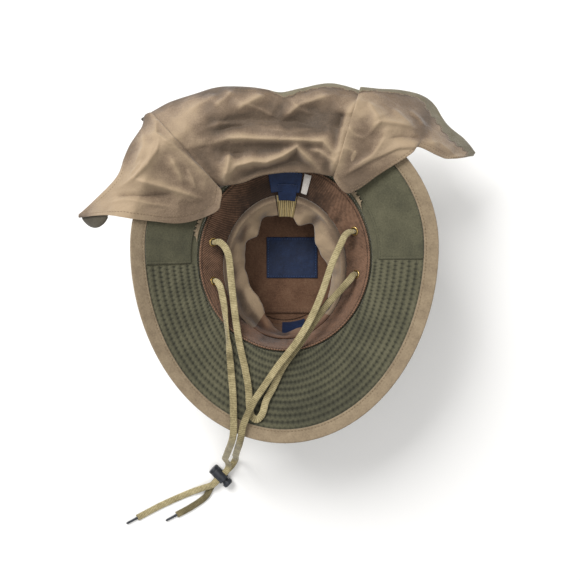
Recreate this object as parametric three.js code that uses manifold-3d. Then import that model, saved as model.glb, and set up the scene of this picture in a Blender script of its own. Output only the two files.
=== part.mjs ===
// Soft sun hat with a neck cape, lying upside down on the tip of its crown.
// Millimetres. +Z is up, +Y points to the rear of the hat, the origin is the middle of the tip on the floor.
import * as THREE from "three";
import { mergeVertices } from "three/addons/utils/BufferGeometryUtils.js";
import Module from "manifold-3d";

const wasm = await Module();
wasm.setup();

// Driving dimensions
const openingHalfWidth = 87; // a 570 mm head opening, measured at the brim's seam
const openingHalfLength = 94.5;
const crownHeight = 90; // floor to the brim's seam
const tipHalfWidth = 64;
const tipHalfLength = 72;
const crownWall = 1.6;
const brimSideReach = 58.6; // reaches are measured in plan, from the seam to the edge
const brimFrontReach = 84.2;
const brimRearReach = 55.1;
const brimWidestShift = 10.6; // the brim is widest this far behind the middle of the opening
const brimSideRise = 34; // the brim climbs outwards, because the hat lies upside down
const brimFrontRise = 24;
const brimRearRise = 16;
const brimCurve = 1.2; // above 1 the brim steepens outwards
const brimWall = 3; // two cloths with foam between them
const bindingWidth = 11.5;
const bindingWall = 1;
const bindingRound = 0.6; // share of the edge's thickness that stays upright in the fold
const pocketWall = 1.1;
const sweatbandHeight = 38;
const sweatbandWall = 1.2;
const sweatbandSideLean = 25; // how far its lower edge stands inside its upper edge
const sweatbandEndLean = 21;
const sweatbandForward = 11; // its lower edge sits further forward than the opening
const tipPocketWall = 1.2;
const tipPocketFront = 57.5; // the straight hem lies this far in front of the middle
const tipPocketInset = 1.5; // between the panel and the crown's wall
const fitBandWall = 1;
const labelWall = 0.6;
const capeWall = 1.1;
const capeRoll = 12; // height of the roll where the cape turns back over the seam
const capeDroop = 0.9; // slope at which the wings hang down past the brim
const eyeletHole = 5.6;
const eyeletBarrel = 6.8;
const eyeletFlange = 9.2;
const eyeletMetal = 0.4;
const cordWidth = 7;
const cordThickness = 2.4;
const lockBarrel = 12; // diameter of the cord lock's body
const lockLength = 18.5;
const lockBore = 8.6;
const lockEndWall = 2.5;
const lockMouthWall = 1.5; // between the cords' slot and the body's open end
const lockRound = 0.9;
const buttonDiameter = 7.8;
const buttonHead = 10.8;
const buttonHeadLength = 4.5;
const buttonInnerWall = 1.7; // between the cords' slot and the button's inner end
const buttonTravel = 2.6;
const agletDiameter = 3;
const agletLength = 13.5;
const seamGap = 0.3; // clearance between pieces that are sewn or lie on each other
const bendGap = 0.2; // added where a flat piece lies on a curved one

// Number of straight sides round the hat
const sides = 60;

const degree = Math.PI / 180;
const brimHalfWidth = openingHalfWidth + brimSideReach;
const brimRear = openingHalfLength + brimRearReach;
const brimFront = openingHalfLength + brimFrontReach;

function lerp(a, b, share) {
  return a + (b - a) * share;
}

// Distance along a ray from the middle of the hat to an oval that is moved back by shift
function ovalRadius(halfWidth, halfLength, shift, angle) {
  const across = Math.cos(angle) / halfWidth;
  const along = Math.sin(angle) / halfLength;
  const square = across * across + along * along;
  const half = (along * shift) / halfLength;
  const rest = (shift / halfLength) ** 2 - 1;
  return (half + Math.sqrt(half * half - square * rest)) / square;
}

function openingRadius(angle) {
  return ovalRadius(openingHalfWidth, openingHalfLength, 0, angle);
}

function edgeRadius(angle) {
  const rear = ovalRadius(brimHalfWidth, brimRear - brimWidestShift, brimWidestShift, angle);
  if (rear * Math.sin(angle) >= brimWidestShift) {
    return rear;
  }
  return ovalRadius(brimHalfWidth, brimFront + brimWidestShift, brimWidestShift, angle);
}

function brimRise(angle) {
  const lengthwise = Math.sin(angle) > 0 ? brimRearRise : brimFrontRise;
  return brimSideRise * Math.cos(angle) ** 2 + lengthwise * Math.sin(angle) ** 2;
}

// A point of the brim's middle layer: share 0 is the seam, share 1 the edge
function brimPoint(angle, share, lift) {
  const radius = lerp(openingRadius(angle), edgeRadius(angle), share);
  const height = crownHeight + brimRise(angle) * Math.max(share, 0) ** brimCurve;
  return new THREE.Vector3(radius * Math.cos(angle), radius * Math.sin(angle), height + lift);
}

// The share at which a point lies inset from the edge
function shareInset(angle, inset) {
  return 1 - inset / (edgeRadius(angle) - openingRadius(angle));
}

// Turns a closed skin the right way out
function outward(positions, triangles) {
  let volume = 0;
  const a = new THREE.Vector3();
  const b = new THREE.Vector3();
  const c = new THREE.Vector3();
  for (const [i, j, k] of triangles) {
    a.copy(positions[i]);
    b.copy(positions[j]);
    c.copy(positions[k]);
    volume += a.dot(b.cross(c));
  }
  const index = triangles.flatMap(([i, j, k]) => (volume > 0 ? [i, j, k] : [i, k, j]));
  const geometry = new THREE.BufferGeometry();
  geometry.setAttribute("position", new THREE.Float32BufferAttribute(positions.flatMap((p) => p.toArray()), 3));
  geometry.setIndex(index);
  return geometry;
}

// Skin through closed rings of equal length. The last ring joins the first, or both get a flat cap.
function skin(rings, capped) {
  const count = rings[0].length;
  const positions = rings.flat();
  const triangles = [];
  const joins = capped ? rings.length - 1 : rings.length;
  for (let r = 0; r < joins; r++) {
    const next = ((r + 1) % rings.length) * count;
    for (let i = 0; i < count; i++) {
      const j = (i + 1) % count;
      triangles.push([r * count + i, r * count + j, next + j]);
      triangles.push([r * count + i, next + j, next + i]);
    }
  }
  if (capped) {
    for (const [start, turn] of [[0, true], [(rings.length - 1) * count, false]]) {
      const middle = positions.length;
      const sum = new THREE.Vector3();
      for (let i = 0; i < count; i++) {
        sum.add(positions[start + i]);
      }
      positions.push(sum.divideScalar(count));
      for (let i = 0; i < count; i++) {
        const j = (i + 1) % count;
        triangles.push(turn ? [middle, start + j, start + i] : [middle, start + i, start + j]);
      }
    }
  }
  return outward(positions, triangles);
}

// Cloth of one thickness on a grid of middle points, grid[i][j]. A looped cloth joins its last row to its first.
function cloth(grid, wall, looped) {
  const rows = grid.length;
  const columns = grid[0].length;
  const at = (i, j) => grid[looped ? (i + rows) % rows : Math.min(Math.max(i, 0), rows - 1)][Math.min(Math.max(j, 0), columns - 1)];
  const faces = [[], []];
  for (let i = 0; i < rows; i++) {
    for (let j = 0; j < columns; j++) {
      const along = at(i + 1, j).clone().sub(at(i - 1, j));
      const across = at(i, j + 1).clone().sub(at(i, j - 1));
      const normal = along.cross(across).normalize().multiplyScalar(wall / 2);
      faces[0].push(grid[i][j].clone().add(normal));
      faces[1].push(grid[i][j].clone().sub(normal));
    }
  }
  const total = rows * columns;
  const positions = [...faces[0], ...faces[1]];
  const triangles = [];
  const quad = (a, b, c, d) => triangles.push([a, b, c], [a, c, d]);
  const spans = looped ? rows : rows - 1;
  for (let i = 0; i < spans; i++) {
    const k = (i + 1) % rows;
    for (let j = 0; j < columns - 1; j++) {
      quad(i * columns + j, k * columns + j, k * columns + j + 1, i * columns + j + 1);
      quad(total + i * columns + j + 1, total + k * columns + j + 1, total + k * columns + j, total + i * columns + j);
    }
    const last = columns - 1;
    quad(i * columns, total + i * columns, total + k * columns, k * columns);
    quad(k * columns + last, total + k * columns + last, total + i * columns + last, i * columns + last);
  }
  if (!looped) {
    const end = (rows - 1) * columns;
    for (let j = 0; j < columns - 1; j++) {
      quad(j, j + 1, total + j + 1, total + j);
      quad(end + j + 1, end + j, total + end + j, total + end + j + 1);
    }
  }
  return outward(positions, triangles);
}

function ring(place) {
  return Array.from({ length: sides }, (_, i) => place((i / sides) * 2 * Math.PI));
}

function toSolid(geometry) {
  const bare = geometry.clone();
  bare.deleteAttribute("normal");
  bare.deleteAttribute("uv");
  const merged = mergeVertices(bare, 1e-4);
  return new wasm.Manifold(new wasm.Mesh({
    numProp: 3,
    vertProperties: new Float32Array(merged.attributes.position.array),
    triVerts: new Uint32Array(merged.index.array),
  }));
}

function toGeometry(solid) {
  const mesh = solid.getMesh();
  const geometry = new THREE.BufferGeometry();
  geometry.setAttribute("position", new THREE.Float32BufferAttribute(mesh.vertProperties, 3));
  geometry.setIndex(Array.from(mesh.triVerts));
  return geometry;
}

// Finishes
function finish(colour, roughness, metalness = 0) {
  return new THREE.MeshStandardMaterial({ color: colour, roughness, metalness });
}

const oliveNylon = finish(0x5a5b48, 0.8);
const tanNylon = finish(0xa08a70, 0.75);
const tanTape = finish(0xa98f78, 0.85);
const brownTwill = finish(0x6f5243, 0.9);
const brownLining = finish(0x6a4a38, 0.9);
const navyWoven = finish(0x10284c, 0.7);
const whiteTape = finish(0xb9b3ad, 0.7);
const ribbedElastic = finish(0xb09868, 0.85);
const khakiBraid = finish(0xb5a77d, 0.85);
const blackPlastic = finish(0x1d2027, 0.45);
const brass = finish(0xb79b55, 0.35, 0.9);

const hat = new THREE.Group();

function add(name, geometry, material) {
  const mesh = new THREE.Mesh(geometry, material);
  mesh.name = name;
  hat.add(mesh);
  return mesh;
}

// Crown: rows go up from the tip. Spread 0 is the tip's outline and 1 the opening's.
const rimHeight = crownHeight - brimWall / 2 - seamGap;
const crownRows = [
  { rise: 0, spread: -0.26 },
  { rise: 0.02, spread: -0.07 },
  { rise: 0.07, spread: 0.06 },
  { rise: 0.25, spread: 0.36 },
  { rise: 0.5, spread: 0.72 },
  { rise: 0.75, spread: 0.92 },
  { rise: 1, spread: 1 },
];

function crownRing(row, inset, lift) {
  const halfWidth = lerp(tipHalfWidth, openingHalfWidth, row.spread) - inset;
  const halfLength = lerp(tipHalfLength, openingHalfLength, row.spread) - inset;
  const height = Math.max(row.rise * rimHeight, lift);
  return ring((angle) => new THREE.Vector3(halfWidth * Math.cos(angle), halfLength * Math.sin(angle), height));
}

function crown() {
  const outside = crownRows.map((row) => crownRing(row, 0, 0));
  const inside = crownRows.map((row) => crownRing(row, crownWall, crownWall));
  return skin([...outside, ...inside.reverse()], true);
}

add("crown", crown(), oliveNylon);

// Brim: rings across its upper and lower faces
const brimShares = [0, 0.1, 0.35, 0.75, 1];

function brim() {
  const upper = brimShares.map((share) => ring((angle) => brimPoint(angle, share, brimWall / 2)));
  const lower = brimShares.map((share) => ring((angle) => brimPoint(angle, share, -brimWall / 2)));
  return skin([...upper, ...lower.reverse()], false);
}

add("brim", brim(), oliveNylon);

// Binding: tape folded round the edge. Inset is measured in from the edge, lift from the brim's middle layer.
function brimBinding() {
  const near = brimWall / 2 + seamGap;
  const far = near + bindingWall;
  const section = [
    { inset: bindingWidth, lift: near },
    { inset: bindingWidth, lift: far },
    { inset: 0, lift: far },
    { inset: -seamGap - bindingWall, lift: far * bindingRound },
    { inset: -seamGap - bindingWall, lift: -far * bindingRound },
    { inset: 0, lift: -far },
    { inset: bindingWidth, lift: -far },
    { inset: bindingWidth, lift: -near },
    { inset: -seamGap, lift: -near },
    { inset: -seamGap, lift: near },
  ];
  return skin(section.map((p) => ring((angle) => brimPoint(angle, shareInset(angle, p.inset), p.lift))), false);
}

add("brim_binding", brimBinding(), tanTape);

// Cape pocket: a panel over the rear half of the brim's underside
const pocketSides = { from: -1, to: sides / 2 + 1 }; // counted in sides of the brim from its right hand edge

function capePocket() {
  const rows = [];
  const lift = brimWall / 2 + seamGap + pocketWall / 2;
  for (let side = pocketSides.from; side <= pocketSides.to; side++) {
    const angle = (side / sides) * 2 * Math.PI;
    const outer = shareInset(angle, bindingWidth + 2 * seamGap);
    rows.push([...brimShares.slice(1, -1), outer].map((share) => brimPoint(angle, share, lift)));
  }
  return cloth(rows, pocketWall, false);
}

add("cape_pocket", capePocket(), oliveNylon);

// Sweatband: depth 0 is its sewn upper edge, depth 1 its loose lower edge
const bandInset = crownWall + seamGap + sweatbandWall / 2;
const bandTop = crownHeight + brimWall / 2;

function bandPoint(angle, depth, inset) {
  const halfWidth = openingHalfWidth - bandInset;
  const halfLength = openingHalfLength - bandInset;
  const upper = new THREE.Vector3(halfWidth * Math.cos(angle), halfLength * Math.sin(angle), bandTop);
  const lower = new THREE.Vector3((halfWidth - sweatbandSideLean) * Math.cos(angle), 0, 0);
  lower.y = (halfLength - sweatbandEndLean) * Math.sin(angle) - sweatbandForward;
  const lean = Math.hypot(upper.x - lower.x, upper.y - lower.y);
  lower.z = bandTop - Math.sqrt(sweatbandHeight ** 2 - lean ** 2);
  const point = upper.lerp(lower, depth);
  const away = new THREE.Vector2(Math.cos(angle) * lean, Math.sin(angle) * lean).normalize();
  const drop = bandTop - lower.z;
  point.x -= (away.x * inset * drop) / sweatbandHeight;
  point.y -= (away.y * inset * drop) / sweatbandHeight;
  point.z += (inset * lean) / sweatbandHeight;
  return point;
}

// Direction that faces the hollow at a place on the sweatband
function bandNormal(angle, depth) {
  const step = 0.02;
  const round = bandPoint(angle + step, depth, 0).sub(bandPoint(angle - step, depth, 0));
  const down = bandPoint(angle, depth + step, 0).sub(bandPoint(angle, depth - step, 0));
  const normal = round.cross(down).normalize();
  return normal.z < 0 ? normal.negate() : normal;
}

// Eyelets: angle and depth on the sweatband
const eyelets = {
  left_rear: { angle: 166, depth: 0.39 },
  left_front: { angle: 193, depth: 0.42 },
  right_rear: { angle: 21.5, depth: 0.36 },
  right_front: { angle: -8, depth: 0.45 },
};

function eyeletSeat(place) {
  const centre = bandPoint(place.angle * degree, place.depth, 0);
  const normal = bandNormal(place.angle * degree, place.depth);
  const turn = new THREE.Quaternion().setFromUnitVectors(new THREE.Vector3(0, 0, 1), normal);
  return new THREE.Matrix4().compose(centre, turn, new THREE.Vector3(1, 1, 1));
}

function sweatband() {
  const rows = ring((angle) => [0, 0.5, 1].map((depth) => bandPoint(angle, depth, 0)));
  let solid = toSolid(cloth(rows, sweatbandWall, true));
  for (const place of Object.values(eyelets)) {
    const drill = new THREE.CylinderGeometry(eyeletBarrel / 2 + seamGap, eyeletBarrel / 2 + seamGap, 8, 12);
    drill.rotateX(Math.PI / 2);
    drill.applyMatrix4(eyeletSeat(place));
    solid = solid.subtract(toSolid(drill));
  }
  return toGeometry(solid);
}

add("sweatband", sweatband(), brownTwill);

// Eyelet: a barrel with a flange on each face of the sweatband. Its flanges stand clear of the curved cloth.
const flangeLift = sweatbandWall / 2 + seamGap + bendGap;

function eyelet(place) {
  const hole = eyeletHole / 2;
  const flange = eyeletFlange / 2;
  const barrel = eyeletBarrel / 2;
  const outer = flangeLift + eyeletMetal;
  const profile = [
    [hole, -outer],
    [flange, -outer],
    [flange, -flangeLift],
    [barrel, -flangeLift],
    [barrel, flangeLift],
    [flange, flangeLift],
    [flange, outer],
    [hole, outer],
    [hole, -outer],
  ];
  const geometry = new THREE.LatheGeometry(profile.map(([r, h]) => new THREE.Vector2(r, h)), 12);
  geometry.rotateX(Math.PI / 2);
  geometry.applyMatrix4(eyeletSeat(place));
  return geometry;
}

for (const [name, place] of Object.entries(eyelets)) {
  add(`eyelet_${name}`, eyelet(place), brass);
}

// Tip pocket: a flat panel on the inside of the tip, cut straight along its front hem
function tipPocket() {
  const floor = crownWall + seamGap;
  const { spread } = crownRows[1];
  const halfWidth = lerp(tipHalfWidth, openingHalfWidth, spread) - crownWall - tipPocketInset;
  const halfLength = lerp(tipHalfLength, openingHalfLength, spread) - crownWall - tipPocketInset;
  const hem = Math.asin(-tipPocketFront / halfLength);
  const outline = new THREE.Shape();
  outline.absellipse(0, 0, halfWidth, halfLength, hem, Math.PI - hem, false, 0);
  outline.closePath();
  const panel = new THREE.ExtrudeGeometry(outline, { depth: tipPocketWall, bevelEnabled: false, curveSegments: 20 });
  panel.translate(0, 0, floor);
  return panel;
}

add("tip_pocket", tipPocket(), brownLining);

const tipPocketTop = crownWall + seamGap + tipPocketWall;

// Woven labels. Length runs front to rear.
const mainLabel = { width: 56, length: 45, right: 7.5, back: 3.5 };
const careLabel = { width: 24.5, right: 9, footHeight: 6, topHeight: 27, footGap: 3.4, topGap: 0.8 };

function mainLabelPatch() {
  const patch = new THREE.BoxGeometry(mainLabel.width, mainLabel.length, labelWall);
  patch.translate(mainLabel.right, mainLabel.back, tipPocketTop + seamGap + labelWall / 2);
  return patch;
}

add("main_label", mainLabelPatch(), navyWoven);

// Point on the inner face of the crown's front wall, at a height
function crownInside(height, right) {
  const rise = height / rimHeight;
  const above = crownRows.findIndex((row) => row.rise >= rise);
  const low = crownRows[above - 1];
  const high = crownRows[above];
  const spread = lerp(low.spread, high.spread, (rise - low.rise) / (high.rise - low.rise));
  const halfWidth = lerp(tipHalfWidth, openingHalfWidth, spread) - crownWall;
  const halfLength = lerp(tipHalfLength, openingHalfLength, spread) - crownWall;
  return -halfLength * Math.sqrt(1 - (right / halfWidth) ** 2);
}

function careLabelPatch() {
  const steps = [0, 0.33, 0.66, 1];
  const rows = [-0.5, -0.17, 0.17, 0.5].map((across) => steps.map((share) => {
    const x = careLabel.right + across * careLabel.width;
    const z = lerp(careLabel.footHeight, careLabel.topHeight, share);
    const clearance = labelWall + lerp(careLabel.footGap, careLabel.topGap, share);
    return new THREE.Vector3(x, crownInside(z, x) + clearance, z);
  }));
  return cloth(rows, labelWall, false);
}

add("care_label", careLabelPatch(), navyWoven);

// Patches that hang on the rear of the sweatband. Angles in degrees, depths down the band, lift off its face.
const bandPatches = {
  rear_label: { from: 77, to: 102, top: 0.16, bottom: 0.72, lift: 0.3, material: navyWoven },
  folded_label: { from: 79.5, to: 96, top: 0.5, bottom: 0.98, lift: 2.2, material: navyWoven },
  white_tag: { from: 70.5, to: 75.5, top: 0.14, bottom: 0.7, lift: 0.3, material: whiteTape },
};

function bandPatch(patch) {
  const inset = sweatbandWall / 2 + patch.lift + labelWall / 2;
  const rows = [0, 0.25, 0.5, 0.75, 1].map((across) => [0, 0.5, 1].map((down) => {
    const angle = lerp(patch.from, patch.to, across) * degree;
    return bandPoint(angle, lerp(patch.top, patch.bottom, down), inset);
  }));
  return cloth(rows, labelWall, false);
}

for (const [name, patch] of Object.entries(bandPatches)) {
  add(name, bandPatch(patch), patch.material);
}

// Fit band: a loose tape round the foot of the sweatband. Foot is how far its lower edge stands in from its
// upper edge, drop how far below it.
const fitRows = [
  { angle: 99, foot: 14, drop: 16 },
  { angle: 118, foot: 7, drop: 22 },
  { angle: 135, foot: 19, drop: 20 },
  { angle: 152, foot: 10, drop: 24 },
  { angle: 172, foot: 15, drop: 22 },
  { angle: 195, foot: 19, drop: 20 },
  { angle: 220, foot: 21, drop: 18 },
  { angle: 245, foot: 12, drop: 20 },
  { angle: 270, foot: 3, drop: 22 },
  { angle: 300, foot: 4, drop: 22 },
  { angle: 325, foot: 6, drop: 22 },
  { angle: 350, foot: 7, drop: 22 },
  { angle: 370, foot: 12, drop: 21 },
  { angle: 392, foot: 20, drop: 18 },
  { angle: 412, foot: 9, drop: 22 },
  { angle: 428, foot: 17, drop: 18 },
  { angle: 438, foot: 14, drop: 16 },
];
const elasticAngles = { from: 79.2, to: 97.8 };

// Smooth value of one column of a table at a place between its rows
function between(rows, column, place) {
  const last = rows.length - 1;
  const at = Math.min(Math.max(place, 0), last);
  const i = Math.min(Math.floor(at), last - 1);
  const t = at - i;
  const p = [i - 1, i, i + 1, i + 2].map((k) => rows[Math.min(Math.max(k, 0), last)][column]);
  return p[1] + 0.5 * t * (p[2] - p[0] + t * (2 * p[0] - 5 * p[1] + 4 * p[2] - p[3]
    + t * (3 * (p[1] - p[2]) + p[3] - p[0])));
}

// Share 0 to 0.25 lies on the foot of the sweatband, the rest hangs from it
const fitSewn = 0.25;
const fitShares = [0, fitSewn, 0.6, 1];
const fitSeat = { top: 0.84, bottom: 1.02 }; // depths on the sweatband
const fitCurl = 1.2;

function fitPoint(angle, foot, drop, share) {
  const depth = lerp(fitSeat.top, fitSeat.bottom, Math.min(share / fitSewn, 1));
  const point = bandPoint(angle, depth, (sweatbandWall + fitBandWall) / 2 + seamGap + bendGap);
  const hang = Math.max(share - fitSewn, 0) / (1 - fitSewn);
  const inward = new THREE.Vector3(-Math.cos(angle), -Math.sin(angle), 0);
  return point.addScaledVector(inward, foot * hang ** fitCurl).add(new THREE.Vector3(0, 0, -drop * hang));
}

const fitSteps = 38;

function fitBand() {
  const rows = [];
  for (let i = 0; i <= fitSteps; i++) {
    const place = (i / fitSteps) * (fitRows.length - 1);
    const angle = between(fitRows, "angle", place) * degree;
    const foot = between(fitRows, "foot", place);
    const drop = between(fitRows, "drop", place);
    rows.push(fitShares.map((share) => fitPoint(angle, foot, drop, share)));
  }
  return cloth(rows, fitBandWall, false);
}

add("fit_band", fitBand(), tanNylon);

function fitElastic() {
  const end = fitRows[0];
  const rows = [0, 0.25, 0.5, 0.75, 1].map((across) => {
    const angle = lerp(elasticAngles.from, elasticAngles.to, across) * degree;
    return fitShares.map((share) => fitPoint(angle, end.foot, end.drop, share));
  });
  return cloth(rows, fitBandWall, false);
}

add("fit_elastic", fitElastic(), ribbedElastic);

// Neck cape. Each row crosses the cloth from its front edge to its rear edge. Across and back are shares of the
// brim's half width and of its rear length. Lift is the height above the layer below, in cape rolls. A row with
// root 1 starts at the crown seam and rolls over it. Rows that step back make the pleats under the wings.
const capeRows = [
  { frontAcross: -1.394, frontBack: 0.262, rearAcross: -1.394, rearBack: 0.282, lift: 0, root: 0 },
  { frontAcross: -1.182, frontBack: 0.264, rearAcross: -1.319, rearBack: 0.33, lift: 0.05, root: 0 },
  { frontAcross: -0.997, frontBack: 0.236, rearAcross: -1.162, rearBack: 0.45, lift: 0.1, root: 0 },
  { frontAcross: -0.863, frontBack: 0.225, rearAcross: -1.087, rearBack: 0.532, lift: 0.25, root: 0 },
  { frontAcross: -0.718, frontBack: 0.217, rearAcross: -1.054, rearBack: 0.634, lift: 0.4, root: 0 },
  { frontAcross: -0.589, frontBack: 0.243, rearAcross: -1.015, rearBack: 0.718, lift: 0.6, root: 0 },
  { frontAcross: -0.456, frontBack: 0.299, rearAcross: -0.942, rearBack: 0.828, lift: 0.8, root: 0 },
  { frontAcross: -0.428, frontBack: 0.355, rearAcross: -0.927, rearBack: 0.91, lift: 1, root: 0 },
  { frontAcross: -0.427, frontBack: 0.438, rearAcross: -0.885, rearBack: 0.925, lift: 1.05, root: 0 },
  { frontAcross: -0.52, frontBack: 0.47, rearAcross: -0.96, rearBack: 0.9, lift: 0.5, root: 0 },
  { frontAcross: -0.427, frontBack: 0.47, rearAcross: -0.874, rearBack: 0.955, lift: 0, root: 1 },
  { frontAcross: -0.35, frontBack: 0.476, rearAcross: -0.763, rearBack: 1.011, lift: 0, root: 1 },
  { frontAcross: -0.276, frontBack: 0.491, rearAcross: -0.591, rearBack: 1.059, lift: 0, root: 1 },
  { frontAcross: -0.205, frontBack: 0.52, rearAcross: -0.451, rearBack: 1.098, lift: 0, root: 1 },
  { frontAcross: -0.141, frontBack: 0.539, rearAcross: -0.29, rearBack: 1.098, lift: 0, root: 1 },
  { frontAcross: -0.06, frontBack: 0.551, rearAcross: -0.14, rearBack: 1.079, lift: 0, root: 1 },
  { frontAcross: 0.013, frontBack: 0.558, rearAcross: -0.024, rearBack: 1.055, lift: 0, root: 1 },
  { frontAcross: 0.105, frontBack: 0.557, rearAcross: 0.117, rearBack: 1.085, lift: 0, root: 1 },
  { frontAcross: 0.204, frontBack: 0.552, rearAcross: 0.284, rearBack: 1.124, lift: 0, root: 1 },
  { frontAcross: 0.3, frontBack: 0.535, rearAcross: 0.397, rearBack: 1.111, lift: 0, root: 1 },
  { frontAcross: 0.42, frontBack: 0.53, rearAcross: 0.57, rearBack: 1.06, lift: 0, root: 1 },
  { frontAcross: 0.46, frontBack: 0.54, rearAcross: 0.63, rearBack: 1.06, lift: 0.5, root: 0 },
  { frontAcross: 0.331, frontBack: 0.521, rearAcross: 0.503, rearBack: 1.088, lift: 1.05, root: 0 },
  { frontAcross: 0.407, frontBack: 0.42, rearAcross: 0.623, rearBack: 1.088, lift: 0.9, root: 0 },
  { frontAcross: 0.493, frontBack: 0.441, rearAcross: 0.784, rearBack: 1.098, lift: 0.7, root: 0 },
  { frontAcross: 0.631, frontBack: 0.533, rearAcross: 0.929, rearBack: 1.082, lift: 0.5, root: 0 },
  { frontAcross: 0.821, frontBack: 0.645, rearAcross: 1.026, rearBack: 1.023, lift: 0.3, root: 0 },
  { frontAcross: 0.874, frontBack: 0.697, rearAcross: 1.105, rearBack: 0.884, lift: 0.2, root: 0 },
  { frontAcross: 1.023, frontBack: 0.647, rearAcross: 1.229, rearBack: 0.793, lift: 0.1, root: 0 },
  { frontAcross: 1.104, frontBack: 0.636, rearAcross: 1.3, rearBack: 0.714, lift: 0.05, root: 0 },
  { frontAcross: 1.291, frontBack: 0.678, rearAcross: 1.306, rearBack: 0.7, lift: 0, root: 0 },
];

// Folds of the cape: straight ridges between two places, in the same shares, with height and width in cape rolls
const capeFolds = [
  { name: "long ridge, left", across: -0.49, back: 0.725, toAcross: -0.05, toBack: 0.757, high: 0.9, wide: 0.75 },
  { name: "long ridge, right", across: -0.05, back: 0.757, toAcross: 0.255, toBack: 0.737, high: 0.9, wide: 0.75 },
  { name: "root ridge, left", across: -0.39, back: 0.53, toAcross: -0.125, toBack: 0.615, high: 0.7, wide: 0.6 },
  { name: "root ridge, right", across: -0.125, back: 0.615, toAcross: 0.08, toBack: 0.705, high: 0.7, wide: 0.6 },
  { name: "leaf fold", across: 0.1, back: 0.7, toAcross: 0.27, toBack: 0.55, high: 0.8, wide: 0.6 },
  { name: "rear ridge, left", across: -0.45, back: 0.96, toAcross: -0.335, toBack: 1.08, high: 0.6, wide: 0.6 },
  { name: "rear ridge, middle", across: -0.32, back: 0.95, toAcross: -0.12, toBack: 1.05, high: 0.6, wide: 0.6 },
  { name: "rear ridge, right", across: -0.02, back: 0.89, toAcross: 0.335, toBack: 1.05, high: 0.7, wide: 0.7 },
  { name: "left wing, along the fold", across: -0.83, back: 0.7, toAcross: -0.93, toBack: 0.5, high: 0.45, wide: 0.8 },
  { name: "left wing, across", across: -0.98, back: 0.475, toAcross: -0.6, toBack: 0.38, high: 0.4, wide: 0.8 },
  { name: "right wing, facet", across: 0.55, back: 0.79, toAcross: 0.78, toBack: 0.82, high: 0.45, wide: 0.8 },
  { name: "right wing, crease", across: 0.64, back: 0.74, toAcross: 0.55, toBack: 0.62, high: 0.35, wide: 0.7 },
];

function foldHeight(x, y) {
  let height = 0;
  for (const fold of capeFolds) {
    const start = new THREE.Vector2(fold.across * brimHalfWidth, fold.back * brimRear);
    const run = new THREE.Vector2(fold.toAcross * brimHalfWidth, fold.toBack * brimRear).sub(start);
    const offset = new THREE.Vector2(x, y).sub(start);
    const share = Math.min(Math.max(offset.dot(run) / run.lengthSq(), 0), 1);
    const away = offset.addScaledVector(run, -share).length() / (fold.wide * capeRoll);
    height += fold.high * capeRoll * Math.exp(-away * away);
  }
  return height;
}

// Height of the cloth's middle where it lies on the brim, its pocket or its binding, or hangs past the edge
function restHeight(x, y, clearance) {
  const angle = Math.atan2(y, x);
  const radius = Math.hypot(x, y);
  const seam = openingRadius(angle);
  const edge = edgeRadius(angle);
  const share = Math.min(Math.max((radius - seam) / (edge - seam), 0), 1);
  const past = Math.max(radius - edge, 0);
  const hang = (capeDroop * past * past) / (past + 2 * bindingWidth);
  return brimPoint(angle, share, brimWall / 2 + clearance + capeWall / 2).z - hang;
}

const capeClearance = pocketWall + 4 * seamGap;
const rollStart = 0.1;

function capePoint(place, share) {
  const value = (column) => between(capeRows, column, place);
  const root = Math.min(Math.max(value("root"), 0), 1);
  const front = new THREE.Vector2(value("frontAcross") * brimHalfWidth, value("frontBack") * brimRear);
  const rear = new THREE.Vector2(value("rearAcross") * brimHalfWidth, value("rearBack") * brimRear);
  const out = lerp(share, Math.max(share - rollStart, 0) / (1 - rollStart), root);
  const plan = front.clone().lerp(rear, out);
  const angle = Math.atan2(front.y, front.x);
  const seam = brimPoint(angle, 0.04, 0);
  const tuck = root * Math.max(1 - share / rollStart, 0);
  plan.lerp(new THREE.Vector2(seam.x, seam.y), tuck);
  const roll = root * capeRoll * Math.sin(Math.min(share / (3 * rollStart), 1) * 0.5 * Math.PI);
  const settle = 1 - 0.6 * Math.min(Math.max((share - 0.3) / 0.7, 0), 1);
  const clearance = lerp(capeClearance, 2 * seamGap, tuck);
  const fold = foldHeight(plan.x, plan.y) * Math.min(share / (2 * rollStart), 1);
  const height = restHeight(plan.x, plan.y, clearance) + value("lift") * capeRoll + roll * settle + fold;
  return new THREE.Vector3(plan.x, plan.y, height);
}

const capeShares = [0, 0.05, 0.12, 0.22, 0.36, 0.52, 0.68, 0.84, 1];
const capeColumns = 60;

function neckCape() {
  const rows = [];
  for (let i = 0; i <= capeColumns; i++) {
    const place = (i / capeColumns) * (capeRows.length - 1);
    rows.push(capeShares.map((share) => capePoint(place, share)));
  }
  return cloth(rows, capeWall, false);
}

add("neck_cape", neckCape(), tanNylon);

// Cord lock: lies on the floor in front of the brim. Its axis points to the button, across the two cords
// that pass through its slot.
const lockPlace = new THREE.Vector3(-70.5, -237, lockBarrel / 2);
const lockTurn = -45 * degree;
const slotWidth = cordWidth + 2.7 * seamGap;
const slotHeight = 2 * cordThickness + 3.4 * seamGap;

function lockPiece(solid) {
  const geometry = toGeometry(solid);
  geometry.rotateZ(lockTurn);
  geometry.translate(lockPlace.x, lockPlace.y, lockPlace.z);
  return geometry;
}

// A turned piece along X from its rows of radius and place along the axis
function turned(profile) {
  const geometry = new THREE.LatheGeometry(profile.map(([r, x]) => new THREE.Vector2(r, x)), 20);
  geometry.rotateZ(-Math.PI / 2);
  return toSolid(geometry);
}

function slotCut(from, to) {
  const cut = new THREE.BoxGeometry(to - from, lockBarrel * 2, slotHeight);
  cut.translate((from + to) / 2, 0, 0);
  return toSolid(cut);
}

const lockMouth = slotWidth / 2 + lockMouthWall;
const lockEnd = lockMouth - lockLength;

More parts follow.
